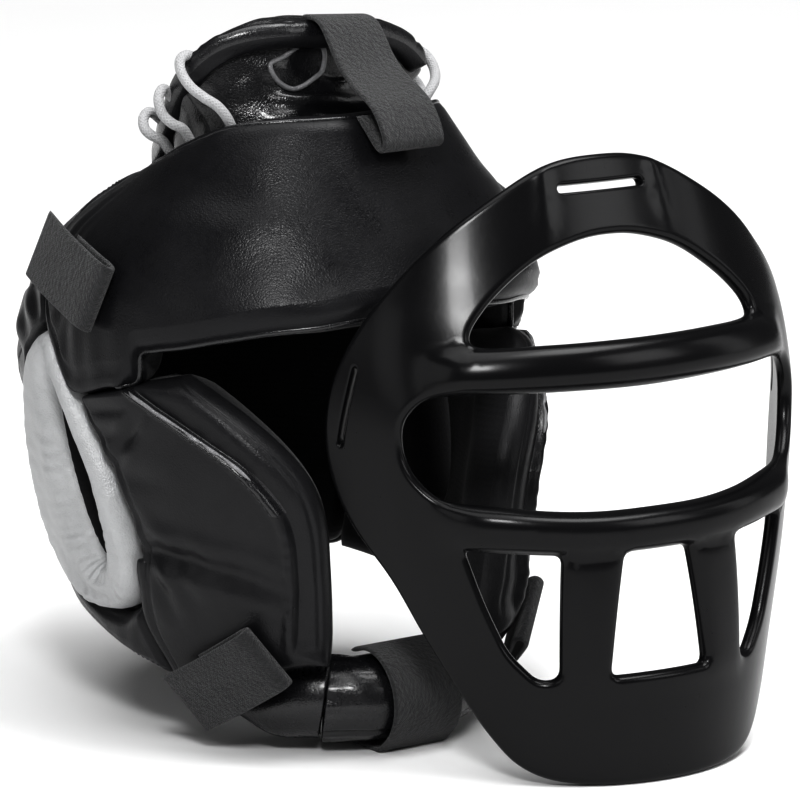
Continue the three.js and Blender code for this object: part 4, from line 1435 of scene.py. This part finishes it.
def make_jaw(side, mirror):
    """The strip under the ear: a plain pad with one stitched hem."""
    def rounding(u, v):
        """The same round edge all along."""
        return JAW_ROUND, JAW_ROUND

    def shape(u, v, base):
        """A hem along the foot, over gentle waves."""
        return grooves(v, JAW_HEM), waves(base, JAW_WAVES)

    pad = Pad(on_ribs(JAW_RIBS), JAW_GRID, JAW_THICK, rounding, shape, mirror=mirror)
    piece = pad.mesh(f"jaw_cover_{side}", [BLACK, LINING])
    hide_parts(f"jaw_panel_{side}")
    stitches(f"jaw_stitches_{side}", [sewn_row(pad, *JAW_ROW)], THREAD)


# Ear ring: grid, thickness, how far it stands proud, roundness at its slit and at its outer edge, sewn
# groove and waves. Gathers: height, the share of it away from the ring's low end, and that end's place and
# width round the ring. Arcs: height, place and width. Then the share beside the slit in the dark lining
# finish.
EAR_GRID = (np.linspace(0, 1, 280, endpoint=False), spread(46, 0.3))
EAR_THICK = 22.0
EAR_PROUD = 3.0
EAR_SLIT_ROUND = 10.0
EAR_EDGE_ROUND = 7.0
EAR_GROOVE = ((0.93, 1.0, 0.02),)
EAR_WAVES = ((0.7, 34, 51), (0.3, 14, 52))
EAR_GATHER = 0.5
EAR_GATHER_LEAST = 0.35
EAR_GATHER_AT = (0.47, 0.19)
EAR_ARC = 0.8
EAR_ARC_AT = (0.45, 0.07)
EAR_DARK_SHARE = 0.02


def ear_surface(u, v, lift):
    """The ear ring on the head form: from the slit (v 0) to its outer edge (v 1), all round (u)."""
    edge_turn, edge_height, slit_turn, slit_height = read_share(EAR_RING, u, True)
    return on_head(*rib_place((slit_turn, slit_height, edge_turn, edge_height), v), lift)


def make_ear(side, mirror):
    """The ear's ring: a stuffed roll with gathers that fan round its lower end."""
    def rounding(u, v):
        """Fuller at the slit than at the outer edge."""
        return EAR_SLIT_ROUND, np.where(v < 0.5, EAR_SLIT_ROUND, EAR_EDGE_ROUND)

    def shape(u, v, base):
        """Two uneven sets of spokes round the ring, a few arcs at its low end, and a sewn groove."""
        around = 2 * np.pi * u
        spoke = np.sin(31 * around + 2.2 * np.sin(5 * around))
        spoke += 0.7 * np.sin(47 * around + 1.6 * np.sin(3 * around + 1))
        low = blend(EAR_GATHER_LEAST, 1, bell(u, *EAR_GATHER_AT))
        rim = (0.5 * smooth(0.4, 0.75, v) + 0.9 * smooth(0.5, 0.1, v)) * smooth(1.0, 0.8, v)
        arc = EAR_ARC * np.sin(16 * v + 5 * np.sin(around)) * bell(u, *EAR_ARC_AT)
        arc = arc * smooth(0.1, 0.25, v) * smooth(0.95, 0.7, v)
        return EAR_GATHER * spoke * low * rim + grooves(v, EAR_GROOVE) + arc, waves(base, EAR_WAVES)

    pad = Pad(ear_surface, EAR_GRID, EAR_THICK, rounding, shape, EAR_PROUD, True, mirror)
    piece = pad.mesh(f"ear_cover_{side}", [SILVER, LINING], pad.v < EAR_DARK_SHARE)
    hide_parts(f"ear_pad_{side}")


def flap_point(u, v):
    """Back by u from a bowed front edge, sideways by v, and down by an arch that is boxy in front."""
    side = 2 * v - 1
    ends = np.where(side > 0, FLAP_FRONT_LEFT, FLAP_FRONT_RIGHT)
    front = blend(FLAP_FRONT, ends, np.abs(side) ** FLAP_BOW)
    back = blend(front, FLAP_LINES[-1, 0], u)
    half, crown, rim = read(FLAP_LINES, back)
    arch = blend(FLAP_ARCH, FLAP_FRONT_ARCH, smooth(0.4, 0.05, u))
    drop = (crown - rim) * np.abs(side) ** arch
    lift = FLAP_LIP * smooth(0.16, 0.0, u) - FLAP_TILT * side * smooth(0.7, 0.0, u)
    return np.stack([half * side, back, crown - drop + lift], axis=-1)


def flap_surface(u, v, lift):
    """The flap's outer face lifted along its normals, the cross product of small steps both ways."""
    u0, u1 = np.clip(u - 0.01, 0, 1), np.clip(u + 0.01, 0, 1)
    v0, v1 = np.clip(v - 0.01, 0, 1), np.clip(v + 0.01, 0, 1)
    normal = unit(np.cross(flap_point(u, v1) - flap_point(u, v0), flap_point(u1, v) - flap_point(u0, v)))
    return flap_point(u, v) + normal * np.asarray(lift, float)[..., None]


# Gathers of the flap: sideways and back at each end, depth and width.
FLAP_FOLDS = np.array([
    [-40, -22, -12, -31, 1.6, 2.2],
    [-8, -31, 26, -30, 1.4, 2.2],
    [-46, -16, -20, -25, 1.7, 2.4],
    [-16, -26, 14, -26, 1.8, 2.6],
    [10, -25, 44, -20, 1.6, 2.4],
    [-50, -9, -24, -17, 1.6, 2.6],
    [-20, -19, 20, -20, 1.6, 2.8],
    [20, -17, 50, -10, 1.5, 2.6],
    [-46, -2, -20, -8, 1.3, 3.4],
    [-14, -11, 22, -12, 1.3, 3.4],
    [18, -6, 46, 0, 1.2, 3.6],
    [-18, 4, 20, 2, 1.0, 4.2],
    [-34, 18, -8, 15, 0.9, 4.5],
])
# Flap and its curtain of lining: grids, thickness, roundness, hems and waves.
FLAP_GRID = (spread(130, 0.07), spread(116, 0.07))
FLAP_THICK = 11.0
FLAP_FRONT_ROUND = 4.5
FLAP_BACK_ROUND = 9.0
FLAP_SIDE_ROUND = 7.0
FLAP_HEMS = ((0.07, 0.9, 0.01), (0.93, 0.9, 0.01))
FLAP_LIP_HEM = ((0.07, 0.9, 0.008),)
FLAP_WAVES = ((0.8, 40, 61), (0.3, 17, 62))
LINING_GRID = (spread(150, 0.03), spread(60, 0.06))
LINING_THICK = 3.0
LINING_PROUD = 1.5
LINING_ROUND = 1.4
LINING_WAVES = ((0.5, 15, 64),)
LEAF_POINTS = 120
LEAF_RADIUS = 1.1


def lining_surface(u, v, lift):
    """A curtain from under the flap's rim (v 0) to inside the band's top (v 1).

    It follows the flap's front and, past that, its two sides.
    """
    side = 2 * u - 1
    way = np.sign(side)
    front = np.clip(np.abs(side) / LINING_FRONT, 0, 1)
    past = np.clip((np.abs(side) - LINING_FRONT) / (1 - LINING_FRONT), 0, 1)
    inward, back, down = LINING_TUCK
    tuck = np.stack([-inward * way * past, back * (1 - past), -down + 0 * u], axis=-1)
    edge = flap_point(0.03 + 0.42 * past, 0.5 + 0.47 * way * front) + tuck
    turn = way * (LINING_TURN * front + LINING_PAST_TURN * past)
    height = LINING_FOOT_HEIGHT - LINING_FOOT_SAG * front ** 2 - LINING_PAST_DROP * past
    foot = on_head(turn, height, LINING_FOOT_LIFT + 0 * u)
    points = blend(edge, foot, v[..., None])
    normal = unit(points - LINING_MIDDLE)
    belly = LINING_BELLY * np.sin(np.pi * v) + np.asarray(lift, float)
    return points + normal * belly[..., None]


def make_flap():
    """The flap's pad with gathers along its front, hems, and the folded lining under its front edge."""
    def rounding(u, v):
        """Tighter along the front edge than along the back."""
        return np.where(u < 0.5, FLAP_FRONT_ROUND, FLAP_BACK_ROUND), FLAP_SIDE_ROUND

    def shape(u, v, base):
        """Gathers, hems along both sides and one along the front lip, over gentle waves."""
        folds = creases(FLAP_FOLDS, flap_point(u, v)[..., :2])
        return folds + grooves(v, FLAP_HEMS) + grooves(u, FLAP_LIP_HEM), waves(base, FLAP_WAVES)

    pad = Pad(flap_surface, FLAP_GRID, FLAP_THICK, rounding, shape)
    piece = pad.mesh("flap_cover", [GLOSSY, BLACK])
    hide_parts("crown_flap")

    def lining_rounding(u, v):
        """The same round edge all along."""
        return LINING_ROUND, LINING_ROUND

    def gathers(u, v, base):
        """Two sets of folds down the curtain that bend along it, flat at its right end."""
        bend = 1.5 * np.sin(3.6 * (2 * u - 1) + 0.6)
        folds = 1.7 * np.sin(2 * np.pi * 2.4 * v + bend) + 0.8 * np.sin(2 * np.pi * 5.1 * v - 2 * bend)
        return folds * smooth(0.3, 0.42, u) * smooth(0, 0.12, 1 - u), waves(base, LINING_WAVES)

    curtain = Pad(lining_surface, LINING_GRID, LINING_THICK, lining_rounding, gathers, LINING_PROUD)
    lining = curtain.mesh("flap_front_lining", [GLOSSY, GLOSSY])
    path, up = curtain.line(*smooth_loop(LINING_LEAF, LEAF_POINTS).T, 0.5)
    # The leaf-shaped rim's pale finish is a painted highlight.
    rim = tube("flap_lining_rim", path, up, LEAF_RADIUS, PAINTED_HIGHLIGHT, closed=True)


# Chin tube: points along it and round it, how far it is drawn in, its seam as angle, depth and width, and
# the heights of its puckers and of its softness.
CHIN_STEPS = 130
CHIN_SIDES = 128
CHIN_SLACK = 0.4
CHIN_END_ROUND = 1.2
CHIN_SEAM = ((2.2, 0.9, 0.05),)
CHIN_PUCKER = 0.35
CHIN_SOFT = 0.5
CHIN_LIP = (2.2, 1.5)
CHIN_LIP_REACH = 8.0


def make_chin():
    """A padded tube along its bow: round section, flat below, with a lengthwise seam and puckered ends."""
    half = read_share(CHIN_LINE, np.linspace(0, 1, 60)).T
    bow = resampled(np.concatenate([half[:0:-1] * [-1, 1], half]), CHIN_STEPS)
    path = np.column_stack([bow, np.full(len(bow), CHIN_HEIGHT)])
    tangent = unit(np.gradient(path, axis=0))
    up = np.array([0.0, 0.0, 1.0])
    side = np.cross(tangent, up)
    angle = np.linspace(0, 2 * np.pi, CHIN_SIDES, endpoint=False)
    share = np.linspace(-1, 1, len(path))[:, None]
    run = length_along(path)
    end_gap = np.minimum(run, run[::-1])[:, None]
    worn = np.exp(-end_gap / WORN_WIDTH)
    close = blend(0.95, 1, fullness(end_gap, CHIN_END_ROUND))
    pucker = CHIN_PUCKER * np.sin(19 * angle + 2 * np.sin(3 * angle)) * worn
    soft = CHIN_SOFT * np.sin(2 * angle + 2.4 * np.sin(4 * share)) * smooth(0, 10, end_gap)
    radius = (CHIN_RADIUS - CHIN_SLACK + pucker + grooves(angle, CHIN_SEAM) + soft) * close
    ring = np.cos(angle)[:, None] * up + np.sin(angle)[:, None] * side[:, None]
    lip = (CHIN_LIP[0] - CHIN_LIP[1] * np.cos(angle)) * smooth(CHIN_LIP_REACH, 0, end_gap) * np.sign(share)
    points = path[:, None] + radius[..., None] * ring + lip[..., None] * tangent[:, None]
    points[..., 2] = np.maximum(points[..., 2], CHIN_LOW + 0.35 * np.cos(6 * angle))
    index = np.arange(points.size // 3).reshape(points.shape[:2])
    over, under = index[:, :CHIN_SIDES // 2], index[:, :CHIN_SIDES // 2 - 1:-1]
    caps = np.stack([over[:, :-1], over[:, 1:], under[:, 1:], under[:, :-1]], axis=-1)
    faces = np.concatenate([grid_faces(index, False, True), caps[0], caps[-1][:, ::-1]])
    uv = np.stack(np.broadcast_arrays(run[:, None] * MM, angle / (2 * np.pi)), axis=-1)
    marks = {"edge": np.broadcast_to(worn, index.shape)}
    piece = put_mesh("chin_cover", points.reshape(-1, 3), faces, [GLOSSY], uv=uv.reshape(-1, 2), marks=marks)
    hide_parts("chin_bar")


# Straps, laces and mask

def middle_place(back, height, across):
    """The top and chin straps stand in the middle plane, with their width sideways."""
    return np.stack([across, back, height], axis=-1)


def make_top_strap():
    """Out of the band, folded back over its front edge and up to the flap, leaning with the flap's rim."""
    def place(back, height, across):
        """In the middle plane, moved aside, and lower on the left towards the flap."""
        lean = TOP_STRAP_LEAN * across * smooth(*TOP_STRAP_LEAN_HEIGHTS, height)
        return middle_place(back, height - lean, across + TOP_STRAP_ASIDE)

    piece = tape("strap_top_tape", TOP_STRAP, TAPE_WIDTH, place, TAPE)
    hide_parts("strap_top")


# Chin strap: angles of its wrap round the tube, distances back of its flat end, and its least height.
CHIN_STRAP_ANGLES = np.radians([60, 90, 120, 150, 180, 210, 235])
CHIN_STRAP_END = np.array([-8, 0, 8, 16])
CHIN_STRAP_LOW = 0.02


def make_chin_strap():
    """Over the tube, down its front and under it, with a flat end on the floor."""
    radius = CHIN_RADIUS + 2 * TAPE_LIFT + TAPE_THICK / 2
    middle = CHIN_LINE[0, 1]
    wrap_back = middle + radius * np.cos(CHIN_STRAP_ANGLES)
    wrap = np.column_stack([wrap_back, CHIN_HEIGHT + radius * np.sin(CHIN_STRAP_ANGLES)])
    floor = np.column_stack([middle + CHIN_STRAP_END, np.full(len(CHIN_STRAP_END), TAPE_THICK / 2)])

    def place(back, height, across):
        """In the middle plane, kept above the floor."""
        return middle_place(back, np.maximum(height, CHIN_STRAP_LOW), across)

    piece = tape("strap_chin_tape", np.concatenate([wrap, floor]), CHIN_TAPE_WIDTH, place, TAPE)
    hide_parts("strap_chin")


def make_side_strap(name, node, strap, mirror):
    """A tape on a pad's face: from its fold back along the pad towards its end."""
    turn, height, end_turn, end_height = (np.array(float(value)) for value in strap)
    normal = normals_of(head_point, turn, height)
    start = on_head(turn, height, np.array(TAPE_LIFT + TAPE_THICK / 2))
    run = on_head(end_turn, end_height, np.array(0.0)) - start
    along = unit(run - (run @ normal) * normal)
    across_way = np.cross(along, normal)

    def place(run_along, lift, across):
        """Along the run, up the pad's normal and across both."""
        points = start + run_along[..., None] * along + lift[..., None] * normal
        return (points + across[..., None] * across_way) * side_of(mirror)

    piece = tape(name, SIDE_STRAP_LINE, TAPE_WIDTH, place, TAPE)
    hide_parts(node)


def make_lace(side, mirror):
    """A cord along a smooth curve through its points, whose upper ones follow the flap's slanted rims."""
    curve = read_share(LACE_LINE, np.linspace(0, 1, LACE_CURVE_POINTS)).T
    curve = resampled(curve, LACE_POINTS)
    slant = FLAP_TILT if mirror else -FLAP_TILT
    curve[:, 2] += slant * smooth(*LACE_SLANT_HEIGHTS, curve[:, 2])
    outward = unit(curve - np.array([0.0, 0.0, LACE_LINE[:, 2].mean()]))
    over = side_of(mirror)
    radius = LACE_RADIUS * rounded_ends(LACE_POINTS, LACE_TIP)
    piece = tube(f"lace_cord_{side}", curve * over, outward * over, radius, LACE, sides=16)
    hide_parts(f"lace_{side}")


def both_halves(half):
    """A closed outline from its half and that half's mirror, in flat millimetres."""
    loop = np.concatenate([half, half[-2:0:-1] * [-1, 1]])
    return loop * [MASK_DEGREE, 1]


def smooth_loop(points, count):
    """Evenly spaced points of a smooth closed curve through the given ones."""
    curve = read_share(points, np.linspace(0, 1, 12 * count), True).T
    return resampled(curve, count + 1)[:-1]


def cornered_loop(points, cut, count):
    """A polygon with a curve in place of each corner, which starts a given cut away, evenly spaced."""
    points = points * [MASK_DEGREE, 1]
    before, after = np.roll(points, 1, axis=0), np.roll(points, -1, axis=0)
    enter = points + unit(before - points) * cut[:, None]
    leave = points + unit(after - points) * cut[:, None]
    t = np.linspace(0, 1, 9)[None, :, None]
    arcs = enter[:, None] * (1 - t) ** 2 + 2 * points[:, None] * t * (1 - t) + leave[:, None] * t * t
    loop = arcs.reshape(-1, 2)
    return resampled(np.concatenate([loop, loop[:1]]), count + 1)[:-1]


def slot_loop(ends, width, count):
    """A straight slot with round ends."""
    ends = ends * [MASK_DEGREE, 1]
    way = unit(ends[1] - ends[0])
    side = np.array([-way[1], way[0]])
    angle = np.linspace(-np.pi / 2, np.pi / 2, 9)[:, None]
    cap = np.cos(angle) * way + np.sin(angle) * side
    loop = np.concatenate([ends[1] + cap * width / 2, ends[0] - cap * width / 2])
    return resampled(np.concatenate([loop, loop[:1]]), count + 1)[:-1]


def outline_gap(place, loop):
    """Distance from points to a closed outline, positive inside it."""
    way = np.roll(loop, -1, axis=0) - loop
    best = np.full(len(place), np.inf)
    crossings = np.zeros(len(place), int)
    for start, step in zip(loop, way):
        share = np.clip(((place - start) @ step) / (step @ step), 0, 1)
        best = np.minimum(best, np.linalg.norm(place - start - share[:, None] * step, axis=1))
        level = (start[1] > place[:, 1]) != (start[1] + step[1] > place[:, 1])
        rise = step[1] if abs(step[1]) > 1e-9 else 1e-9
        crossings += level & (place[:, 0] < start[0] + step[0] * (place[:, 1] - start[1]) / rise)
    return np.where(crossings % 2 == 1, best, -best)


def plate_gap(place, edge, windows):
    """Distance from points of the plate to its nearest outline, negative off the plate."""
    gaps = [outline_gap(place, edge)]
    gaps += [-outline_gap(place, window) for window in windows]
    return np.min(gaps, axis=0)


def inset(loop, distance):
    """A closed outline moved sideways by a distance: to its left as it runs."""
    tangent = unit(np.roll(loop, -1, axis=0) - np.roll(loop, 1, axis=0))
    return loop + distance * np.column_stack([-tangent[:, 1], tangent[:, 0]])


def bar_crown(bar, swing, height):
    """Half-round swell of a bar across its height, which follows its rise and fades at its ends."""
    middle, rise, rise_swings, half, end_swings = bar
    off = np.clip((height - middle - rise * smooth(*rise_swings, swing)) / half, -1, 1)
    return np.sqrt(1 - off * off) * smooth(*end_swings, swing)


def turning(loop):
    """1 for an outline that runs round to the left and -1 for one that runs to the right."""
    ahead = np.roll(loop, -1, axis=0)
    return np.sign(np.sum(loop[:, 0] * ahead[:, 1] - loop[:, 1] * ahead[:, 0]))


def plate_mesh(edge, windows):
    """Points, triangles and edge distances of the flat plate: rings of points along its outlines,
    spread points between them, and the triangles between them that lie on the plate."""
    loops = [edge] + windows
    inward = [turning(edge)] + [-turning(window) for window in windows]
    rings = []
    for number, distance in enumerate(MASK_RINGS):
        step = 1 if distance < MASK_THINNED else 2
        for loop, way in zip(loops, inward):
            ring = inset(loop, way * distance)[number % step::step]
            rings.append(ring[plate_gap(ring, edge, windows) > distance - MASK_RINGS[0]])
    low, high = edge.min(axis=0), edge.max(axis=0)
    columns, rows = (np.arange(low[i], high[i], MASK_SPREAD) for i in (0, 1))
    grid = np.stack(np.meshgrid(columns, rows, indexing="ij"), axis=-1)
    grid[:, 1::2, 0] += MASK_SPREAD / 2
    grid = grid.reshape(-1, 2)
    rings.append(grid[plate_gap(grid, edge, windows) > MASK_RINGS[-1] + MASK_SPREAD_GAP])
    border = np.concatenate(loops)
    counts = np.array([len(loop) for loop in loops])
    ends = np.cumsum(counts)
    follow = np.arange(1, len(border) + 1)
    follow[ends - 1] = ends - counts
    place = np.concatenate([border] + rings)
    sides = np.column_stack([np.arange(len(border)), follow])
    made = delaunay_2d_cdt([Vector(point) for point in place], sides.tolist(), [], 0, 1e-6)
    place = np.array([tuple(point) for point in made[0]])
    faces = np.array(made[2])
    faces = faces[plate_gap(place[faces].mean(axis=1), edge, windows) > 0]
    gap = np.maximum(plate_gap(place, edge, windows), 0)
    return place, faces, np.where(gap < 0.02, 0, gap)


def make_mask():
    """A moulded plate with half-round bars: the flat plate lifted off its form, rounded to its outlines."""
    low_side = cornered_loop(LOW_SIDE_WINDOW, LOW_SIDE_CORNERS, LOW_POINTS)
    side_slot = slot_loop(SIDE_SLOT, SLOT_WIDTH, SIDE_SLOT_POINTS)
    edge = smooth_loop(both_halves(MASK_EDGE), EDGE_POINTS)
    slots = [slot_loop(TOP_SLOT, SLOT_WIDTH, TOP_SLOT_POINTS), side_slot, side_slot * [-1, 1]]
    windows = [
        smooth_loop(both_halves(UPPER_WINDOW), UPPER_POINTS),
        smooth_loop(both_halves(EYE_WINDOW), EYE_POINTS),
        cornered_loop(LOW_MIDDLE_WINDOW, LOW_MIDDLE_CORNERS, LOW_POINTS),
        low_side,
        low_side * [-1, 1],
    ]
    place, faces, gap = plate_mesh(edge, windows + slots)
    swing, height = place[:, 0] / MASK_DEGREE, place[:, 1]
    wide = np.abs(swing)
    bars = np.maximum(bar_crown(BROW_BAR, wide, height), bar_crown(SECOND_BAR, wide, height))
    nose = NOSE_SWELL * fullness(gap, NOSE_ROUND) * smooth(*NOSE_SWINGS, wide)
    nose = nose * smooth(*NOSE_TOP, height) * smooth(*NOSE_FOOT, height)
    crown = BAR_CROWN * np.maximum(bars, nose) * fullness(gap, BAR_ROUND)
    ridge = RIDGE_SWELL * bell(wide, RIDGE_SWING, RIDGE_WIDTH) * smooth(*RIDGE_HEIGHTS, height)
    near_slot = np.max([outline_gap(place, slot) for slot in slots], axis=0) > -SLOT_NEAR
    rounding = np.where(near_slot, SLOT_ROUND, MASK_ROUND)
    shell = fullness(gap, rounding) * MASK_THICK / 2
    normal = normals_of(mask_point, swing, height)
    base = mask_point(swing, height)
    outer = base + normal * (shell + crown + ridge * fullness(gap, RIDGE_ROUND))[:, None]
    inner = base - normal * (shell + BAR_INSIDE * crown)[:, None]
    rim = gap <= 0
    under = np.arange(len(place))
    under[~rim] = len(place) + np.arange((~rim).sum())
    points = mask_stands(np.concatenate([outer, inner[~rim]]))
    faces = np.concatenate([faces, under[faces][:, ::-1]])
    piece = put_mesh("mask_moulding", points, faces, [PLASTIC])
    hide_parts("face_mask")


# Stage, light and camera

def in_row(point):
    """A point of the headgear's own frame in the row's metres."""
    return (np.asarray(point, float) + HEAD_MIDDLE) * MM


def make_floor():
    """A wide square of paper that everything stands on."""
    size = FLOOR_HALF
    mesh = bpy.data.meshes.new("floor")
    corners = [(-size, -size, 0), (size, -size, 0), (size, size, 0), (-size, size, 0)]
    mesh.from_pydata(corners, [], [(0, 1, 2, 3)])
    mesh.materials.append(PAPER)
    floor = bpy.data.objects.new("floor", mesh)
    bpy.context.scene.collection.objects.link(floor)


def make_light(name, position, size, power):
    """A soft lamp whose axes are the way back from the headgear, a level side, and their cross product."""
    lamp = bpy.data.lights.new(name, "AREA")
    lamp.shape = "RECTANGLE"
    lamp.size, lamp.size_y = size
    lamp.energy = power
    holder = bpy.data.objects.new(name, lamp)
    away = in_row(position) - in_row(LAMPS_FACE)
    side = unit(np.cross([0.0, 0.0, 1.0], away))
    turn = np.column_stack([side, unit(np.cross(away, side)), unit(away)])
    holder.matrix_world = Matrix.Translation(in_row(position)) @ Matrix(turn.tolist()).to_4x4()
    bpy.context.scene.collection.objects.link(holder)


def make_sun():
    """An even light from straight above, for the pale floor."""
    lamp = bpy.data.lights.new("overhead", "SUN")
    lamp.energy = SUN_STRENGTH
    lamp.angle = SUN_SPREAD
    bpy.context.scene.collection.objects.link(bpy.data.objects.new("overhead", lamp))


def make_camera():
    """The view's right, up and back directions place the headgear's middle on its spot in the frame."""
    sin_t, cos_t = np.sin(VIEW_TURN), np.cos(VIEW_TURN)
    sin_r, cos_r = np.sin(VIEW_RISE), np.cos(VIEW_RISE)
    right = np.array([cos_t, -sin_t, 0.0])
    up = np.array([sin_t * sin_r, cos_t * sin_r, cos_r])
    back = np.array([-sin_t * cos_r, -cos_t * cos_r, sin_r])
    shift_right = (AIM_PIXEL[0] - FRAME_PIXELS / 2) / VIEW_SCALE
    shift_up = (FRAME_PIXELS / 2 - AIM_PIXEL[1]) / VIEW_SCALE
    eye = np.array([0.0, 0.0, AIM_HEIGHT]) - shift_right * right - shift_up * up + VIEW_DISTANCE * back
    data = bpy.data.cameras.new("camera")
    data.sensor_width = SENSOR
    data.lens = VIEW_SCALE * VIEW_DISTANCE / FRAME_PIXELS * SENSOR
    data.clip_end = VIEW_CLIP_END
    camera = bpy.data.objects.new("camera", data)
    turn = Matrix(np.column_stack([right, up, back]).tolist()).to_4x4()
    camera.matrix_world = Matrix.Translation(in_row(eye)) @ turn
    bpy.context.scene.collection.objects.link(camera)
    bpy.context.scene.camera = camera


def make_world():
    """A faint white surround, and the picture's own gamma."""
    world = bpy.data.worlds.new("studio")
    world.use_nodes = True
    surround = world.node_tree.nodes["Background"]
    surround.inputs["Color"].default_value = (1, 1, 1, 1)
    surround.inputs["Strength"].default_value = WORLD_STRENGTH
    bpy.context.scene.world = world
    bpy.context.scene.view_settings.view_transform = "Standard"
    bpy.context.scene.view_settings.gamma = VIEW_GAMMA


make_camera()
make_band()
make_back()
make_flap()
make_chin()
for wearer_side, on_right in (("left", False), ("right", True)):
    make_cheek(wearer_side, on_right)
    make_jaw(wearer_side, on_right)
    make_ear(wearer_side, on_right)
    for strap, line in (("temple", TEMPLE_STRAP), ("jaw", JAW_STRAP)):
        make_side_strap(f"strap_{strap}_tape_{wearer_side}", f"strap_{strap}_{wearer_side}", line, on_right)
    make_lace(wearer_side, on_right)
make_top_strap()
make_chin_strap()
make_mask()
make_floor()
make_world()
for lamp_row in LAMPS:
    make_light(*lamp_row)
make_sun()
